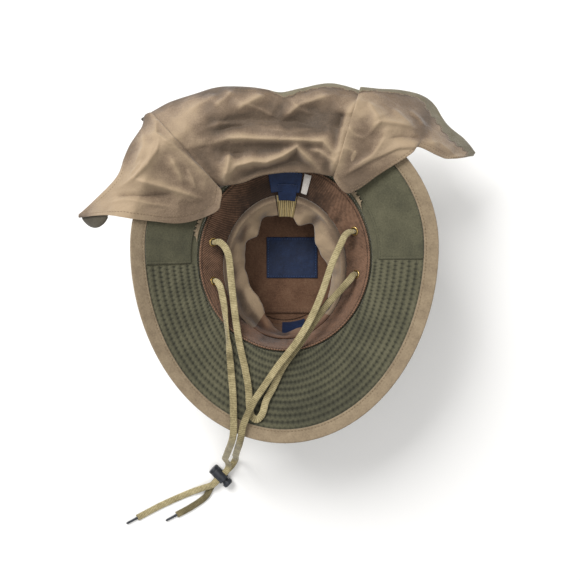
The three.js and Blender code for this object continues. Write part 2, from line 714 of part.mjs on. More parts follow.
function cordLockBarrel() {
  const body = turned([
    [0, lockEnd],
    [lockBarrel / 2 - lockRound, lockEnd],
    [lockBarrel / 2, lockEnd + lockRound],
    [lockBarrel / 2, lockMouth],
    [lockBore / 2, lockMouth],
    [lockBore / 2, lockEnd + lockEndWall],
    [0, lockEnd + lockEndWall],
  ]);
  return lockPiece(body.subtract(slotCut(-slotWidth / 2, slotWidth / 2)));
}

// The button's slot is longer than the body's by its travel, so the cords stay clear as it goes in
function cordLockButton() {
  const inner = -slotWidth / 2 - buttonInnerWall;
  const head = lockMouth + buttonTravel + seamGap;
  const body = turned([
    [0, inner],
    [buttonDiameter / 2, inner],
    [buttonDiameter / 2, head],
    [buttonHead / 2, head],
    [buttonHead / 2, head + buttonHeadLength - lockRound],
    [buttonHead / 2 - lockRound, head + buttonHeadLength],
    [0, head + buttonHeadLength],
  ]);
  return lockPiece(body.subtract(slotCut(-slotWidth / 2, slotWidth / 2 + buttonTravel)));
}

add("cord_lock_barrel", cordLockBarrel(), blackPlastic);
add("cord_lock_button", cordLockButton(), blackPlastic);

// Chin cord: one flat braid in five stretches. The points are the middle of the braid.
const cordRoutes = {
  chin_cord_left: {
    from: "left_front",
    points: [
      [-65, -28, 84.5], [-62.5, -37, 86], [-60, -50, 88.5], [-58, -64, 94.2], [-56, -80, 96.4],
      [-54, -96, 99.6], [-52, -115, 104.2], [-50, -135, 109.6], [-49, -153, 117.2], [-48.7, -163, 120],
      [-49.2, -171.5, 120.2], [-51.5, -180, 112], [-55, -189, 95], [-59, -199.5, 74], [-62.5, -208.5, 50],
      [-63, -215.5, 28], [-62, -222, 13], [-62.3, -226.5, 8], [-64.5, -231, 7.4], [-70.5, -237, 7.4],
      [-79, -245.5, 7.4], [-90, -250, 4.8], [-105, -256, 1.5], [-136, -269.6, 1.3], [-163.3, -283.9, 1.3],
    ],
    flatAt: 19,
  },
  chin_cord_middle: {
    from: "left_rear",
    to: "right_front",
    points: [
      [-66, 16, 85], [-60, 11, 87.5], [-56, 2, 88.5], [-53.5, -20, 88.5], [-51, -43, 89.2],
      [-48, -66, 91.7], [-44, -88, 95.8], [-38.5, -111, 100.6], [-35, -130, 105.5], [-34, -145, 109.8],
      [-32, -154, 112.2], [-27, -157.5, 112.6], [-22, -153, 111.2], [-18, -140, 107.2], [-11, -127, 102.8],
      [-1, -107, 98], [16, -84, 95], [31, -62, 90.5], [43, -46, 88.5], [55, -33, 88], [65, -22, 86],
    ],
    flatAt: 6,
  },
  chin_cord_right: {
    from: "right_rear",
    points: [
      [65, 26, 86.5], [60, 22, 90], [56, 14, 92], [47, -6, 92.5], [37, -35, 93.5],
      [27, -58, 96.5], [12, -83, 100.5], [-6, -106, 103.5], [-20, -126, 108.3], [-29, -139, 113],
      [-35, -151, 117], [-39.5, -162, 119.4], [-41.5, -172, 120.4], [-43.5, -180, 115], [-46, -187.5, 100],
      [-48.5, -195.5, 80], [-51, -203.5, 56], [-53, -209, 34], [-53.5, -214, 16], [-55, -219, 6],
      [-59, -225.5, 4.6], [-70.5, -237, 4.6], [-79, -245.5, 4.4], [-83, -252, 2.6], [-88, -260.5, 1.4],
      [-104, -272, 1.3], [-119.8, -280.6, 1.3],
    ],
    flatAt: 21,
  },
};
const cordSteps = { chin_cord_left: 28, chin_cord_middle: 19, chin_cord_right: 25 };
const hiddenSteps = 4;
const cordMouth = flangeLift + eyeletMetal + seamGap;
const cordLead = 2; // the cord leaves an eyelet straight for this far

const cordCorners = 8;

// Flattened oval: powers below 1 square it off
function cordSection(turn) {
  const outline = [];
  for (let i = 0; i < cordCorners; i++) {
    const angle = ((i + 0.5) / cordCorners) * 2 * Math.PI;
    const across = (cordWidth / 2) * Math.sign(Math.cos(angle)) * Math.abs(Math.cos(angle)) ** 0.7;
    const up = (cordThickness / 2) * Math.sign(Math.sin(angle)) * Math.abs(Math.sin(angle)) ** 0.6;
    outline.push(new THREE.Vector2(across, up).rotateAround(new THREE.Vector2(), turn));
  }
  return new THREE.Shape(outline);
}

// Braid along a route. At one point of the route its broad side is level, or upright.
function flatCord(points, steps, setAt, upright) {
  const path = new THREE.CatmullRomCurve3(points, false, "centripetal");
  const frames = path.computeFrenetFrames(steps, false);
  const stations = path.getSpacedPoints(steps);
  const target = points[setAt];
  let nearest = 0;
  for (let i = 1; i <= steps; i++) {
    if (stations[i].distanceTo(target) < stations[nearest].distanceTo(target)) {
      nearest = i;
    }
  }
  const up = new THREE.Vector3(0, 0, 1);
  const broad = upright ? up : up.cross(frames.tangents[nearest]).normalize();
  const turn = Math.atan2(broad.dot(frames.binormals[nearest]), broad.dot(frames.normals[nearest]));
  return new THREE.ExtrudeGeometry(cordSection(turn), { steps, extrudePath: path, curveSegments: 1 });
}

// Place on the axis of an eyelet. Side 1 is the hollow's side of the sweatband, -1 the crown's.
function eyeletMouth(name, side, distance) {
  return new THREE.Vector3(0, 0, side * distance).applyMatrix4(eyeletSeat(eyelets[name]));
}

for (const [name, route] of Object.entries(cordRoutes)) {
  const points = route.points.map((p) => new THREE.Vector3(...p));
  points.unshift(eyeletMouth(route.from, 1, cordMouth), eyeletMouth(route.from, 1, cordMouth + cordLead));
  if (route.to) {
    points.push(eyeletMouth(route.to, 1, cordMouth + cordLead), eyeletMouth(route.to, 1, cordMouth));
  }
  add(name, flatCord(points, cordSteps[name], route.flatAt + 2, false), khakiBraid);
}

// Behind the sweatband the cord runs from eyelet to eyelet
const hiddenRuns = {
  chin_cord_behind_left: { from: "left_rear", to: "left_front" },
  chin_cord_behind_right: { from: "right_front", to: "right_rear" },
};
const hiddenBack = 4.5; // how far this run stands behind the eyelets

for (const [name, run] of Object.entries(hiddenRuns)) {
  const near = eyeletMouth(run.from, -1, cordMouth + hiddenBack);
  const far = eyeletMouth(run.to, -1, cordMouth + hiddenBack);
  const points = [
    eyeletMouth(run.from, -1, cordMouth),
    eyeletMouth(run.from, -1, cordMouth + cordLead),
    near.clone().lerp(far, 0.2),
    near.clone().lerp(far, 0.5),
    near.clone().lerp(far, 0.8),
    eyeletMouth(run.to, -1, cordMouth + cordLead),
    eyeletMouth(run.to, -1, cordMouth),
  ];
  add(name, flatCord(points, hiddenSteps, 3, true), khakiBraid);
}

// Aglets: the cord's hard tips, at the ends of its two tails
function aglet(route) {
  const last = route.points.length - 1;
  const end = new THREE.Vector3(...route.points[last]);
  const path = new THREE.CatmullRomCurve3(route.points.map((p) => new THREE.Vector3(...p)), false, "centripetal");
  const along = path.getTangentAt(1).setZ(0).normalize();
  const geometry = new THREE.CylinderGeometry(agletDiameter / 2, agletDiameter / 2, agletLength, 10);
  const turn = new THREE.Quaternion().setFromUnitVectors(new THREE.Vector3(0, 1, 0), along);
  geometry.applyQuaternion(turn);
  end.addScaledVector(along, agletLength / 2 + seamGap);
  geometry.translate(end.x, end.y, agletDiameter / 2);
  return geometry;
}

add("aglet_left", aglet(cordRoutes.chin_cord_left), blackPlastic);
add("aglet_right", aglet(cordRoutes.chin_cord_right), blackPlastic);

export default hat;
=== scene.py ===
import math

import bmesh
import bpy
import numpy as np
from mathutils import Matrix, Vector, noise


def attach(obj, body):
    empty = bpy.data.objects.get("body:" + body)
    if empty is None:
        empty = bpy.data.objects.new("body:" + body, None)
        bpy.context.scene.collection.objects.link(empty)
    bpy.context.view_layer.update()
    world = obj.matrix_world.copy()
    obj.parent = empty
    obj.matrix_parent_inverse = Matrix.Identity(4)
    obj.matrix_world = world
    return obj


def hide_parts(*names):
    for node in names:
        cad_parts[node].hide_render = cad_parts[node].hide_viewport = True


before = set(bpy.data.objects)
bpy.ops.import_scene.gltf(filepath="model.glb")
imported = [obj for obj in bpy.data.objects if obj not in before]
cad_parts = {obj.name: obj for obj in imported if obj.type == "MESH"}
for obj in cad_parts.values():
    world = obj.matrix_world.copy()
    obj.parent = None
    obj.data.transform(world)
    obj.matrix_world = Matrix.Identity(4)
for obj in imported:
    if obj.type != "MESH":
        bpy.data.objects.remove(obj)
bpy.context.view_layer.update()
print("frame loaded")

mm = 0.001
body = "hat"


# Camera first: straight above, as far off as a 50 mm lens needs for this view
cameraPlace = {"x": 0.0053, "y": -0.0322, "z": 0.8915, "lens": 50, "sensor": 36}
cameraData = bpy.data.cameras.new("camera")
cameraData.lens = cameraPlace["lens"]
cameraData.sensor_width = cameraPlace["sensor"]
camera = bpy.data.objects.new("camera", cameraData)
camera.location = (cameraPlace["x"], cameraPlace["y"], cameraPlace["z"])
bpy.context.scene.collection.objects.link(camera)
bpy.context.scene.camera = camera

studio = {
    "keyPlace": (-0.8, 0.95, 1.45), "keySize": 1.0, "keyPower": 36.0,
    "topPlace": (0.3, -0.5, 2.4), "topSize": 2.0, "topPower": 16.0,
    "skyColour": "#FFFFFF", "skyStrength": 0.5,
    "floorColour": "#F7F6F4", "floorSize": 14.0,
}


def linear(hexColour):
    shares = [int(hexColour[i:i + 2], 16) / 255 for i in (1, 3, 5)]
    return tuple(c / 12.92 if c <= 0.04045 else ((c + 0.055) / 1.055) ** 2.4 for c in shares) + (1.0,)


def addNode(tree, kind, settings=None, inputs=None):
    new = tree.nodes.new(kind)
    for key, value in (settings or {}).items():
        setattr(new, key, value)
    for key, value in (inputs or {}).items():
        if isinstance(value, bpy.types.NodeSocket):
            tree.links.new(value, new.inputs[key])
        else:
            new.inputs[key].default_value = value
    return new


def areaLight(name, place, size, power):
    data = bpy.data.lights.new(name, "AREA")
    data.size = size
    data.energy = power
    lamp = bpy.data.objects.new(name, data)
    lamp.location = place
    lamp.rotation_mode = "QUATERNION"
    lamp.rotation_quaternion = (Vector((0, 0, 0.08)) - Vector(place)).to_track_quat("-Z", "Y")
    bpy.context.scene.collection.objects.link(lamp)


areaLight("key", studio["keyPlace"], studio["keySize"], studio["keyPower"])
areaLight("top", studio["topPlace"], studio["topSize"], studio["topPower"])
world = bpy.data.worlds.new("studio")
world.use_nodes = True
world.node_tree.nodes["Background"].inputs["Color"].default_value = linear(studio["skyColour"])
world.node_tree.nodes["Background"].inputs["Strength"].default_value = studio["skyStrength"]
bpy.context.scene.world = world
bpy.context.scene.view_settings.view_transform = "Standard"


# Shapes that the pieces share, in millimetres, worked out as the solids are
hat = {
    "openingHalfWidth": 87.0, "openingHalfLength": 94.5, "crownHeight": 90.0,
    "brimSideReach": 58.6, "brimFrontReach": 84.2, "brimRearReach": 55.1, "brimWidestShift": 10.6,
    "brimSideRise": 34.0, "brimFrontRise": 24.0, "brimRearRise": 16.0, "brimCurve": 1.2, "brimWall": 3.0,
    "seamGap": 0.3,
}
brimHalfWidth = hat["openingHalfWidth"] + hat["brimSideReach"]
brimRear = hat["openingHalfLength"] + hat["brimRearReach"]
brimFront = hat["openingHalfLength"] + hat["brimFrontReach"]


def mix(a, b, share):
    return a + (b - a) * share


def clamp(value, low=0.0, high=1.0):
    return np.minimum(np.maximum(value, low), high)


def ease(value):
    t = clamp(value)
    return t * t * (3 - 2 * t)


def ovalRadius(halfWidth, halfLength, shift, angle):
    across = np.cos(angle) / halfWidth
    along = np.sin(angle) / halfLength
    square = across * across + along * along
    half = along * shift / halfLength
    return (half + np.sqrt(half * half - square * ((shift / halfLength) ** 2 - 1))) / square


def openingRadius(angle):
    return ovalRadius(hat["openingHalfWidth"], hat["openingHalfLength"], 0.0, angle)


def edgeRadius(angle):
    shift = hat["brimWidestShift"]
    rear = ovalRadius(brimHalfWidth, brimRear - shift, shift, angle)
    front = ovalRadius(brimHalfWidth, brimFront + shift, shift, angle)
    return np.where(rear * np.sin(angle) >= shift, rear, front)


def brimRise(angle):
    lengthwise = np.where(np.sin(angle) > 0, hat["brimRearRise"], hat["brimFrontRise"])
    return hat["brimSideRise"] * np.cos(angle) ** 2 + lengthwise * np.sin(angle) ** 2


def brimPoint(angle, share, lift):
    radius = mix(openingRadius(angle), edgeRadius(angle), share)
    height = hat["crownHeight"] + brimRise(angle) * np.maximum(share, 0) ** hat["brimCurve"]
    return np.stack(np.broadcast_arrays(radius * np.cos(angle), radius * np.sin(angle), height + lift), -1)


def shareInset(angle, inset):
    return 1 - inset / (edgeRadius(angle) - openingRadius(angle))


def smoothColumn(values, place):
    # A smooth curve through evenly spaced values, read at places between them
    values = np.asarray(values, float)
    last = len(values) - 1
    at = clamp(place, 0, last)
    i = np.minimum(np.floor(at).astype(int), last - 1)
    t = at - i
    p0, p1, p2, p3 = [values[clamp(i + k, 0, last).astype(int)] for k in (-1, 0, 1, 2)]
    return p1 + 0.5 * t * (p2 - p0 + t * (2 * p0 - 5 * p1 + 4 * p2 - p3 + t * (3 * (p1 - p2) + p3 - p0)))


def ripple(points, size, octaves=3, seed=0.0):
    # Smooth noise from -1 to 1 at points in millimetres, its lumps about size across
    flat = points.reshape(-1, 3) / size
    values = [noise.fractal(Vector(p) + Vector((seed, seed * 0.7, -seed)), 1.0, 2.0, octaves) for p in flat]
    return np.array(values).reshape(points.shape[:-1])


def sheetMesh(name, points, uv, material, closedRows=False, closedColumns=False):
    # Quads over points[row, column] in millimetres. The uv is in millimetres too, and one row or column
    # longer where the sheet is closed.
    rows, columns = points.shape[:2]
    i, j = np.meshgrid(
        np.arange(rows - (not closedRows)), np.arange(columns - (not closedColumns)), indexing="ij")
    corners = [(i, j), (i + 1, j), (i + 1, j + 1), (i, j + 1)]
    faces = np.stack([(a % rows) * columns + b % columns for a, b in corners], -1).reshape(-1, 4)
    mesh = bpy.data.meshes.new(name)
    mesh.from_pydata((points.reshape(-1, 3) * mm).tolist(), [], faces.tolist())
    layer = mesh.uv_layers.new(name="cloth")
    layer.data.foreach_set("uv", np.stack([uv[a, b] for a, b in corners], -2).reshape(-1).astype(np.float32))
    mesh.polygons.foreach_set("use_smooth", np.ones(len(faces), bool))
    for one in material if isinstance(material, (list, tuple)) else [material]:
        mesh.materials.append(one)
    piece = bpy.data.objects.new(name, mesh)
    bpy.context.scene.collection.objects.link(piece)
    return piece


def blurred(values, cells, wrapRows=False, wrapColumns=False):
    # Each value's mean over a square of cells around it
    for axis, wrap in ((0, wrapRows), (1, wrapColumns)):
        pad = [(0, 0), (0, 0)]
        pad[axis] = (cells, cells)
        total = np.cumsum(np.pad(values, pad, mode="wrap" if wrap else "edge"), axis=axis)
        total = np.insert(total, 0, 0, axis=axis)
        width = 2 * cells + 1
        count = values.shape[axis]
        upper, lower = np.arange(width, width + count), np.arange(count)
        values = (np.take(total, upper, axis=axis) - np.take(total, lower, axis=axis)) / width
    return values


def shadeCloth(piece, relief, full):
    # Painted shade in hollows and painted highlight on crests, and on the cords their worn dull places: -1 to 1, full
    # at this many millimetres
    layer = piece.data.attributes.new("shade", "FLOAT", "POINT")
    layer.data.foreach_set("value", clamp(relief / full, -1, 1).reshape(-1).astype(np.float32))


def clothUv(points, closedRows=False, closedColumns=False):
    # Distances along the rows and the columns of a sheet, in millimetres
    def along(axis, closed):
        steps = np.diff(points, axis=axis, append=np.take(points, [0], axis=axis))
        lengths = np.linalg.norm(steps, axis=-1).mean(axis=1 - axis)
        total = np.concatenate([[0], np.cumsum(lengths)])
        return total if closed else total[:-1]
    u, v = np.meshgrid(along(0, closedRows), along(1, closedColumns), indexing="ij")
    return np.stack([u, v], -1)


def settle(piece):
    # Turns the live modifiers into plain mesh
    depsgraph = bpy.context.evaluated_depsgraph_get()
    mesh = bpy.data.meshes.new_from_object(piece.evaluated_get(depsgraph))
    piece.modifiers.clear()
    piece.data = mesh
    return piece


def thicken(piece, wall, backMaterial=0, offset=0.0):
    solid = piece.modifiers.new("wall", "SOLIDIFY")
    solid.thickness = wall * mm
    solid.offset = offset
    solid.use_even_offset = False
    solid.material_offset = backMaterial
    return settle(piece)


def place(piece, slot, *nodes, on=body):
    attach(piece, on)
    if nodes:
        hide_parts(*nodes)
    return piece


# Cloths and threads. Sizes are in millimetres, colours as the cloth looks in daylight.
clothLooks = {
    # Brushed nylon for sun hats: matt, a soft olive, its ridges paler by painted highlight
    "oliveBrushedNylon": {
        "colour": "#4E4C3A", "dark": "#3E3D2F", "light": "#5F5C48", "mottle": 26, "weave": "plain",
        "pitch": 1.1, "depth": 0.05, "crease": 9, "creaseDepth": 0.12, "roughness": 0.85, "sheen": 0.2,
    },
    # The same nylon, greyer and paler: a lighter copy that stands in for light on the cape's rear hem strip, whose edge
    # tilts away from the lamps, also used on its turned tip
    "paleOliveNylon": {
        "colour": "#6B6451", "dark": "#575041", "light": "#7C7562", "mottle": 20, "weave": "plain",
        "pitch": 1.1, "depth": 0.05, "crease": 9, "creaseDepth": 0.14, "roughness": 0.85, "sheen": 0.2,
    },
    # The same nylon in tan: the lining side shines a little along its folds
    "tanBrushedNylon": {
        "colour": "#84715C", "dark": "#6E5C4A", "light": "#97836A", "mottle": 44, "weave": "plain",
        "pitch": 1.0, "depth": 0.035, "crease": 14, "creaseDepth": 0.3, "roughness": 0.62, "sheen": 0.3,
    },
    # Folded nylon tape: tan, slightly pinker, with a grain across
    "tanBindingTape": {
        "colour": "#86765F", "dark": "#756652", "light": "#95856D", "mottle": 12, "weave": "plain",
        "pitch": 1.3, "depth": 0.06, "crease": 6, "creaseDepth": 0.16, "roughness": 0.8, "sheen": 0.2,
    },
    # Cotton twill: brown, its diagonal ribs catch the light
    "brownCottonTwill": {
        "colour": "#58402F", "dark": "#3C2A1D", "light": "#7A5C48", "mottle": 16, "weave": "twill",
        "pitch": 2.3, "depth": 0.13, "crease": 10, "creaseDepth": 0.35, "roughness": 0.88, "sheen": 0.15,
    },
    # Plain brown lining: soft and dark, faint slubs
    "brownLining": {
        "colour": "#694D3A", "dark": "#543B2C", "light": "#7B5F4A", "mottle": 20, "weave": "plain",
        "pitch": 1.2, "depth": 0.06, "crease": 14, "creaseDepth": 0.35, "roughness": 0.9, "sheen": 0.12,
    },
    # Damask label cloth: dense navy satin, fine cross ribs
    "navyDamask": {
        "colour": "#102140", "dark": "#0A1832", "light": "#1B3054", "mottle": 9, "weave": "rib",
        "pitch": 0.9, "depth": 0.04, "crease": 12, "creaseDepth": 0.12, "roughness": 0.55, "sheen": 0.1,
    },
    # Printed satin tape, left blank: off white
    "whiteSatinTape": {
        "colour": "#BDB7B0", "dark": "#A8A29B", "light": "#CFCAC4", "mottle": 6, "weave": "rib",
        "pitch": 0.9, "depth": 0.04, "crease": 8, "creaseDepth": 0.1, "roughness": 0.6, "sheen": 0.1,
    },
    # Knitted elastic: cream yellow, strong ribs
    "ribbedElastic": {
        "colour": "#A8925F", "dark": "#7D6A42", "light": "#C2AE7A", "mottle": 7, "weave": "rib",
        "pitch": 0.85, "depth": 0.3, "crease": 6, "creaseDepth": 0.2, "roughness": 0.85, "sheen": 0.2,
    },
    # Flat polyester braid: khaki, chevrons of plaited yarn and dull worn patches
    "khakiFlatBraid": {
        "colour": "#9C8F6A", "dark": "#756A4A", "light": "#BDB088", "mottle": 13, "weave": "braid",
        "pitch": 1.7, "depth": 0.13, "crease": 5, "creaseDepth": 0.12, "roughness": 0.82, "sheen": 0.25,
    },
}


def wovenCloth(name, look):
    material = bpy.data.materials.new(name)
    material.use_nodes = True
    tree = material.node_tree
    tree.nodes.clear()
    threads = addNode(tree, "ShaderNodeUVMap", {"uv_map": "cloth"})
    axes = addNode(tree, "ShaderNodeSeparateXYZ", None, {"Vector": threads.outputs["UV"]})
    u, v = axes.outputs["X"], axes.outputs["Y"]
    turn = 2 * math.pi / look["pitch"]
    if look["weave"] == "braid":
        v = addNode(tree, "ShaderNodeMath", {"operation": "ABSOLUTE"}, {0: v}).outputs[0]
    if look["weave"] in ("twill", "braid"):
        u = addNode(tree, "ShaderNodeMath", {"operation": "ADD"}, {0: u, 1: v}).outputs[0]
    angle = addNode(tree, "ShaderNodeMath", {"operation": "MULTIPLY"}, {0: u, 1: turn})
    height = addNode(tree, "ShaderNodeMath", {"operation": "SINE"}, {0: angle.outputs[0]}).outputs[0]
    if look["weave"] in ("plain", "braid"):
        angle = addNode(tree, "ShaderNodeMath", {"operation": "MULTIPLY"}, {0: v, 1: turn})
        weft = addNode(tree, "ShaderNodeMath", {"operation": "SINE"}, {0: angle.outputs[0]})
        woven = addNode(tree, "ShaderNodeMath", {"operation": "MULTIPLY"}, {0: height, 1: weft.outputs[0]})
        height = woven.outputs[0]
    space = addNode(tree, "ShaderNodeTexCoord").outputs["Object"]
    mottle = addNode(tree, "ShaderNodeTexNoise", None, {
        "Vector": space, "Scale": 1 / (look["mottle"] * mm), "Detail": 4, "Roughness": 0.6})
    speck = addNode(tree, "ShaderNodeTexNoise", None, {
        "Vector": space, "Scale": 1 / (look["pitch"] * 1.3 * mm), "Detail": 2, "Roughness": 0.7})
    crease = addNode(tree, "ShaderNodeTexNoise", None, {
        "Vector": space, "Scale": 1 / (look["crease"] * mm), "Detail": 3, "Roughness": 0.55, "Distortion": 0.6})
    # Painted shade in hollows and painted highlight on crests, from the shade attribute; on the cords it also holds
    # their worn places
    shadeAndWear = addNode(tree, "ShaderNodeAttribute", {"attribute_name": "shade"}).outputs["Fac"]
    tone = addNode(tree, "ShaderNodeMath", {"operation": "MULTIPLY_ADD"}, {0: shadeAndWear, 1: 0.32, 2: 0.13})
    tone = addNode(tree, "ShaderNodeMath", {"operation": "MULTIPLY_ADD"}, {
        0: speck.outputs["Fac"], 1: 0.32, 2: tone.outputs[0]})
    tone = addNode(tree, "ShaderNodeMath", {"operation": "MULTIPLY_ADD"}, {
        0: mottle.outputs["Fac"], 1: 0.4, 2: tone.outputs[0]})
    tone = addNode(tree, "ShaderNodeMath", {"operation": "MULTIPLY_ADD"}, {
        0: height, 1: look["depth"] * 1.1, 2: tone.outputs[0]})
    ramp = addNode(tree, "ShaderNodeValToRGB", None, {"Fac": tone.outputs[0]})
    stops = ramp.color_ramp.elements
    # The ramp's darkest and palest ends are reached mostly through that painted shade and highlight
    stops[0].position, stops[0].color = 0.1, [c * 0.42 for c in linear(look["dark"])[:3]] + [1]
    stops[1].position, stops[1].color = 0.92, [min(c * 1.2, 1) for c in linear(look["light"])[:3]] + [1]
    for where, colour in ((0.38, "dark"), (0.5, "colour"), (0.66, "light")):
        stops.new(where).color = linear(look[colour])
    deep = addNode(tree, "ShaderNodeMath", {"operation": "MULTIPLY"}, {0: height, 1: look["depth"] * mm})
    relief = addNode(tree, "ShaderNodeMath", {"operation": "MULTIPLY_ADD"}, {
        0: crease.outputs["Fac"], 1: look["creaseDepth"] * mm * 4, 2: deep.outputs[0]})
    bump = addNode(tree, "ShaderNodeBump", None, {"Strength": 1.0, "Distance": 1.0, "Height": relief.outputs[0]})
    shader = addNode(tree, "ShaderNodeBsdfPrincipled", None, {
        "Base Color": ramp.outputs["Color"], "Roughness": look["roughness"], "Normal": bump.outputs["Normal"],
        "Sheen Weight": look["sheen"], "Sheen Roughness": 0.45, "Specular IOR Level": 0.3})
    addNode(tree, "ShaderNodeOutputMaterial", None, {"Surface": shader.outputs["BSDF"]})
    return material


cloths = {name: wovenCloth(name, look) for name, look in clothLooks.items()}

hardLooks = {
    # Moulded acetal: nearly black, fine satin with faint flow marks
    "blackAcetal": {
        "colour": "#1B1E24", "worn": "#2C3038", "grain": 3.0, "depth": 0.02, "roughness": 0.42, "metal": 0.0,
    },
    # Rolled brass, lacquered: warm, its rims rubbed brighter
    "rolledBrass": {
        "colour": "#B6924A", "worn": "#DCC58A", "grain": 1.6, "depth": 0.02, "roughness": 0.3, "metal": 1.0,
    },
    # Spun polyester sewing threads
    "oliveThread": {
        "colour": "#2E2F22", "worn": "#45462F", "grain": 0.8, "depth": 0.06, "roughness": 0.8, "metal": 0.0,
    },
    "tanThread": {
        "colour": "#6B5A45", "worn": "#8B775C", "grain": 0.8, "depth": 0.06, "roughness": 0.8, "metal": 0.0,
    },
    "brownThread": {
        "colour": "#3A271A", "worn": "#5A4130", "grain": 0.8, "depth": 0.06, "roughness": 0.8, "metal": 0.0,
    },
    "navyThread": {
        "colour": "#2A4470", "worn": "#4A6796", "grain": 0.8, "depth": 0.06, "roughness": 0.8, "metal": 0.0,
    },
}


def hardFinish(name, look):
    material = bpy.data.materials.new(name)
    material.use_nodes = True
    tree = material.node_tree
    tree.nodes.clear()
    space = addNode(tree, "ShaderNodeTexCoord").outputs["Object"]
    grain = addNode(tree, "ShaderNodeTexNoise", None, {
        "Vector": space, "Scale": 1 / (look["grain"] * mm), "Detail": 4, "Roughness": 0.65})
    ramp = addNode(tree, "ShaderNodeValToRGB", None, {"Fac": grain.outputs["Fac"]})
    stops = ramp.color_ramp.elements
    stops[0].position, stops[0].color = 0.35, linear(look["colour"])
    stops[1].position, stops[1].color = 0.7, linear(look["worn"])
    rough = addNode(tree, "ShaderNodeMapRange", None, {
        "Value": grain.outputs["Fac"], "To Min": look["roughness"] - 0.08, "To Max": look["roughness"] + 0.12})
    deep = addNode(tree, "ShaderNodeMath", {"operation": "MULTIPLY"}, {
        0: grain.outputs["Fac"], 1: look["depth"] * mm})
    bump = addNode(tree, "ShaderNodeBump", None, {"Strength": 1.0, "Distance": 1.0, "Height": deep.outputs[0]})
    shader = addNode(tree, "ShaderNodeBsdfPrincipled", None, {
        "Base Color": ramp.outputs["Color"], "Roughness": rough.outputs["Result"], "Metallic": look["metal"],
        "Normal": bump.outputs["Normal"]})
    addNode(tree, "ShaderNodeOutputMaterial", None, {"Surface": shader.outputs["BSDF"]})
    return material


finishes = {name: hardFinish(name, look) for name, look in hardLooks.items()}

# Pale seamless paper under the hat
paper = bpy.data.materials.new("paleSeamlessPaper")
paper.use_nodes = True
paper.node_tree.nodes["Principled BSDF"].inputs["Base Color"].default_value = linear(studio["floorColour"])
paper.node_tree.nodes["Principled BSDF"].inputs["Roughness"].default_value = 0.9
reach = studio["floorSize"] / 2
floorMesh = bpy.data.meshes.new("floor")
floorCorners = [(-reach, -reach, 0), (reach, -reach, 0), (reach, reach, 0), (-reach, reach, 0)]
floorMesh.from_pydata(floorCorners, [], [(0, 1, 2, 3)])
floorMesh.materials.append(paper)
floor = bpy.data.objects.new("floor", floorMesh)
bpy.context.scene.collection.objects.link(floor)
print("studio and materials ready")


# Sweatband shape: depth 0 is its sewn upper edge, depth 1 its loose lower edge
sweatband = {
    "wall": 1.2, "height": 38.0, "sideLean": 25.0, "endLean": 21.0, "forward": 11.0, "crownWall": 1.6,
    "rippleDepth": 1.3, "rippleSize": 17.0, "columns": 560, "rows": 30,
}


def bandPoint(angle, depth, inset):
    wallInset = sweatband["crownWall"] + hat["seamGap"] + sweatband["wall"] / 2
    halfWidth = hat["openingHalfWidth"] - wallInset
    halfLength = hat["openingHalfLength"] - wallInset
    top = hat["crownHeight"] + hat["brimWall"] / 2
    upperX, upperY = halfWidth * np.cos(angle), halfLength * np.sin(angle)
    lowerX = (halfWidth - sweatband["sideLean"]) * np.cos(angle)
    lowerY = (halfLength - sweatband["endLean"]) * np.sin(angle) - sweatband["forward"]
    lean = np.hypot(upperX - lowerX, upperY - lowerY)
    drop = np.sqrt(sweatband["height"] ** 2 - lean ** 2)
    inward = inset * drop / sweatband["height"]
    x = mix(upperX, lowerX, depth) - np.cos(angle) * inward
    y = mix(upperY, lowerY, depth) - np.sin(angle) * inward
    z = top - depth * drop + inset * lean / sweatband["height"]
    return np.stack(np.broadcast_arrays(x, y, z), -1)


def bandNormal(angle, depth):
    step = 0.02
    along = bandPoint(angle + step, depth, 0.0) - bandPoint(angle - step, depth, 0.0)
    down = bandPoint(angle, depth + step, 0.0) - bandPoint(angle, depth - step, 0.0)
    normal = np.cross(along, down)
    normal /= np.linalg.norm(normal)
    return normal if normal[2] > 0 else -normal


# Eyelets: degrees round the band, and depth down it
eyeletPlaces = {
    "left_rear": (166.0, 0.39), "left_front": (193.0, 0.42),
    "right_rear": (21.5, 0.36), "right_front": (-8.0, 0.45),
}
eyeletSize = {"hole": 5.6, "flange": 9.2, "barrel": 6.8, "lift": 1.1, "metal": 0.4, "sides": 40, "bandHole": 3.3}
eyeletSeats = {name: (bandPoint(math.radians(a), d, 0.0), bandNormal(math.radians(a), d))
               for name, (a, d) in eyeletPlaces.items()}


def eyeletMouth(name, distance):
    centre, normal = eyeletSeats[name]
    return centre + normal * distance


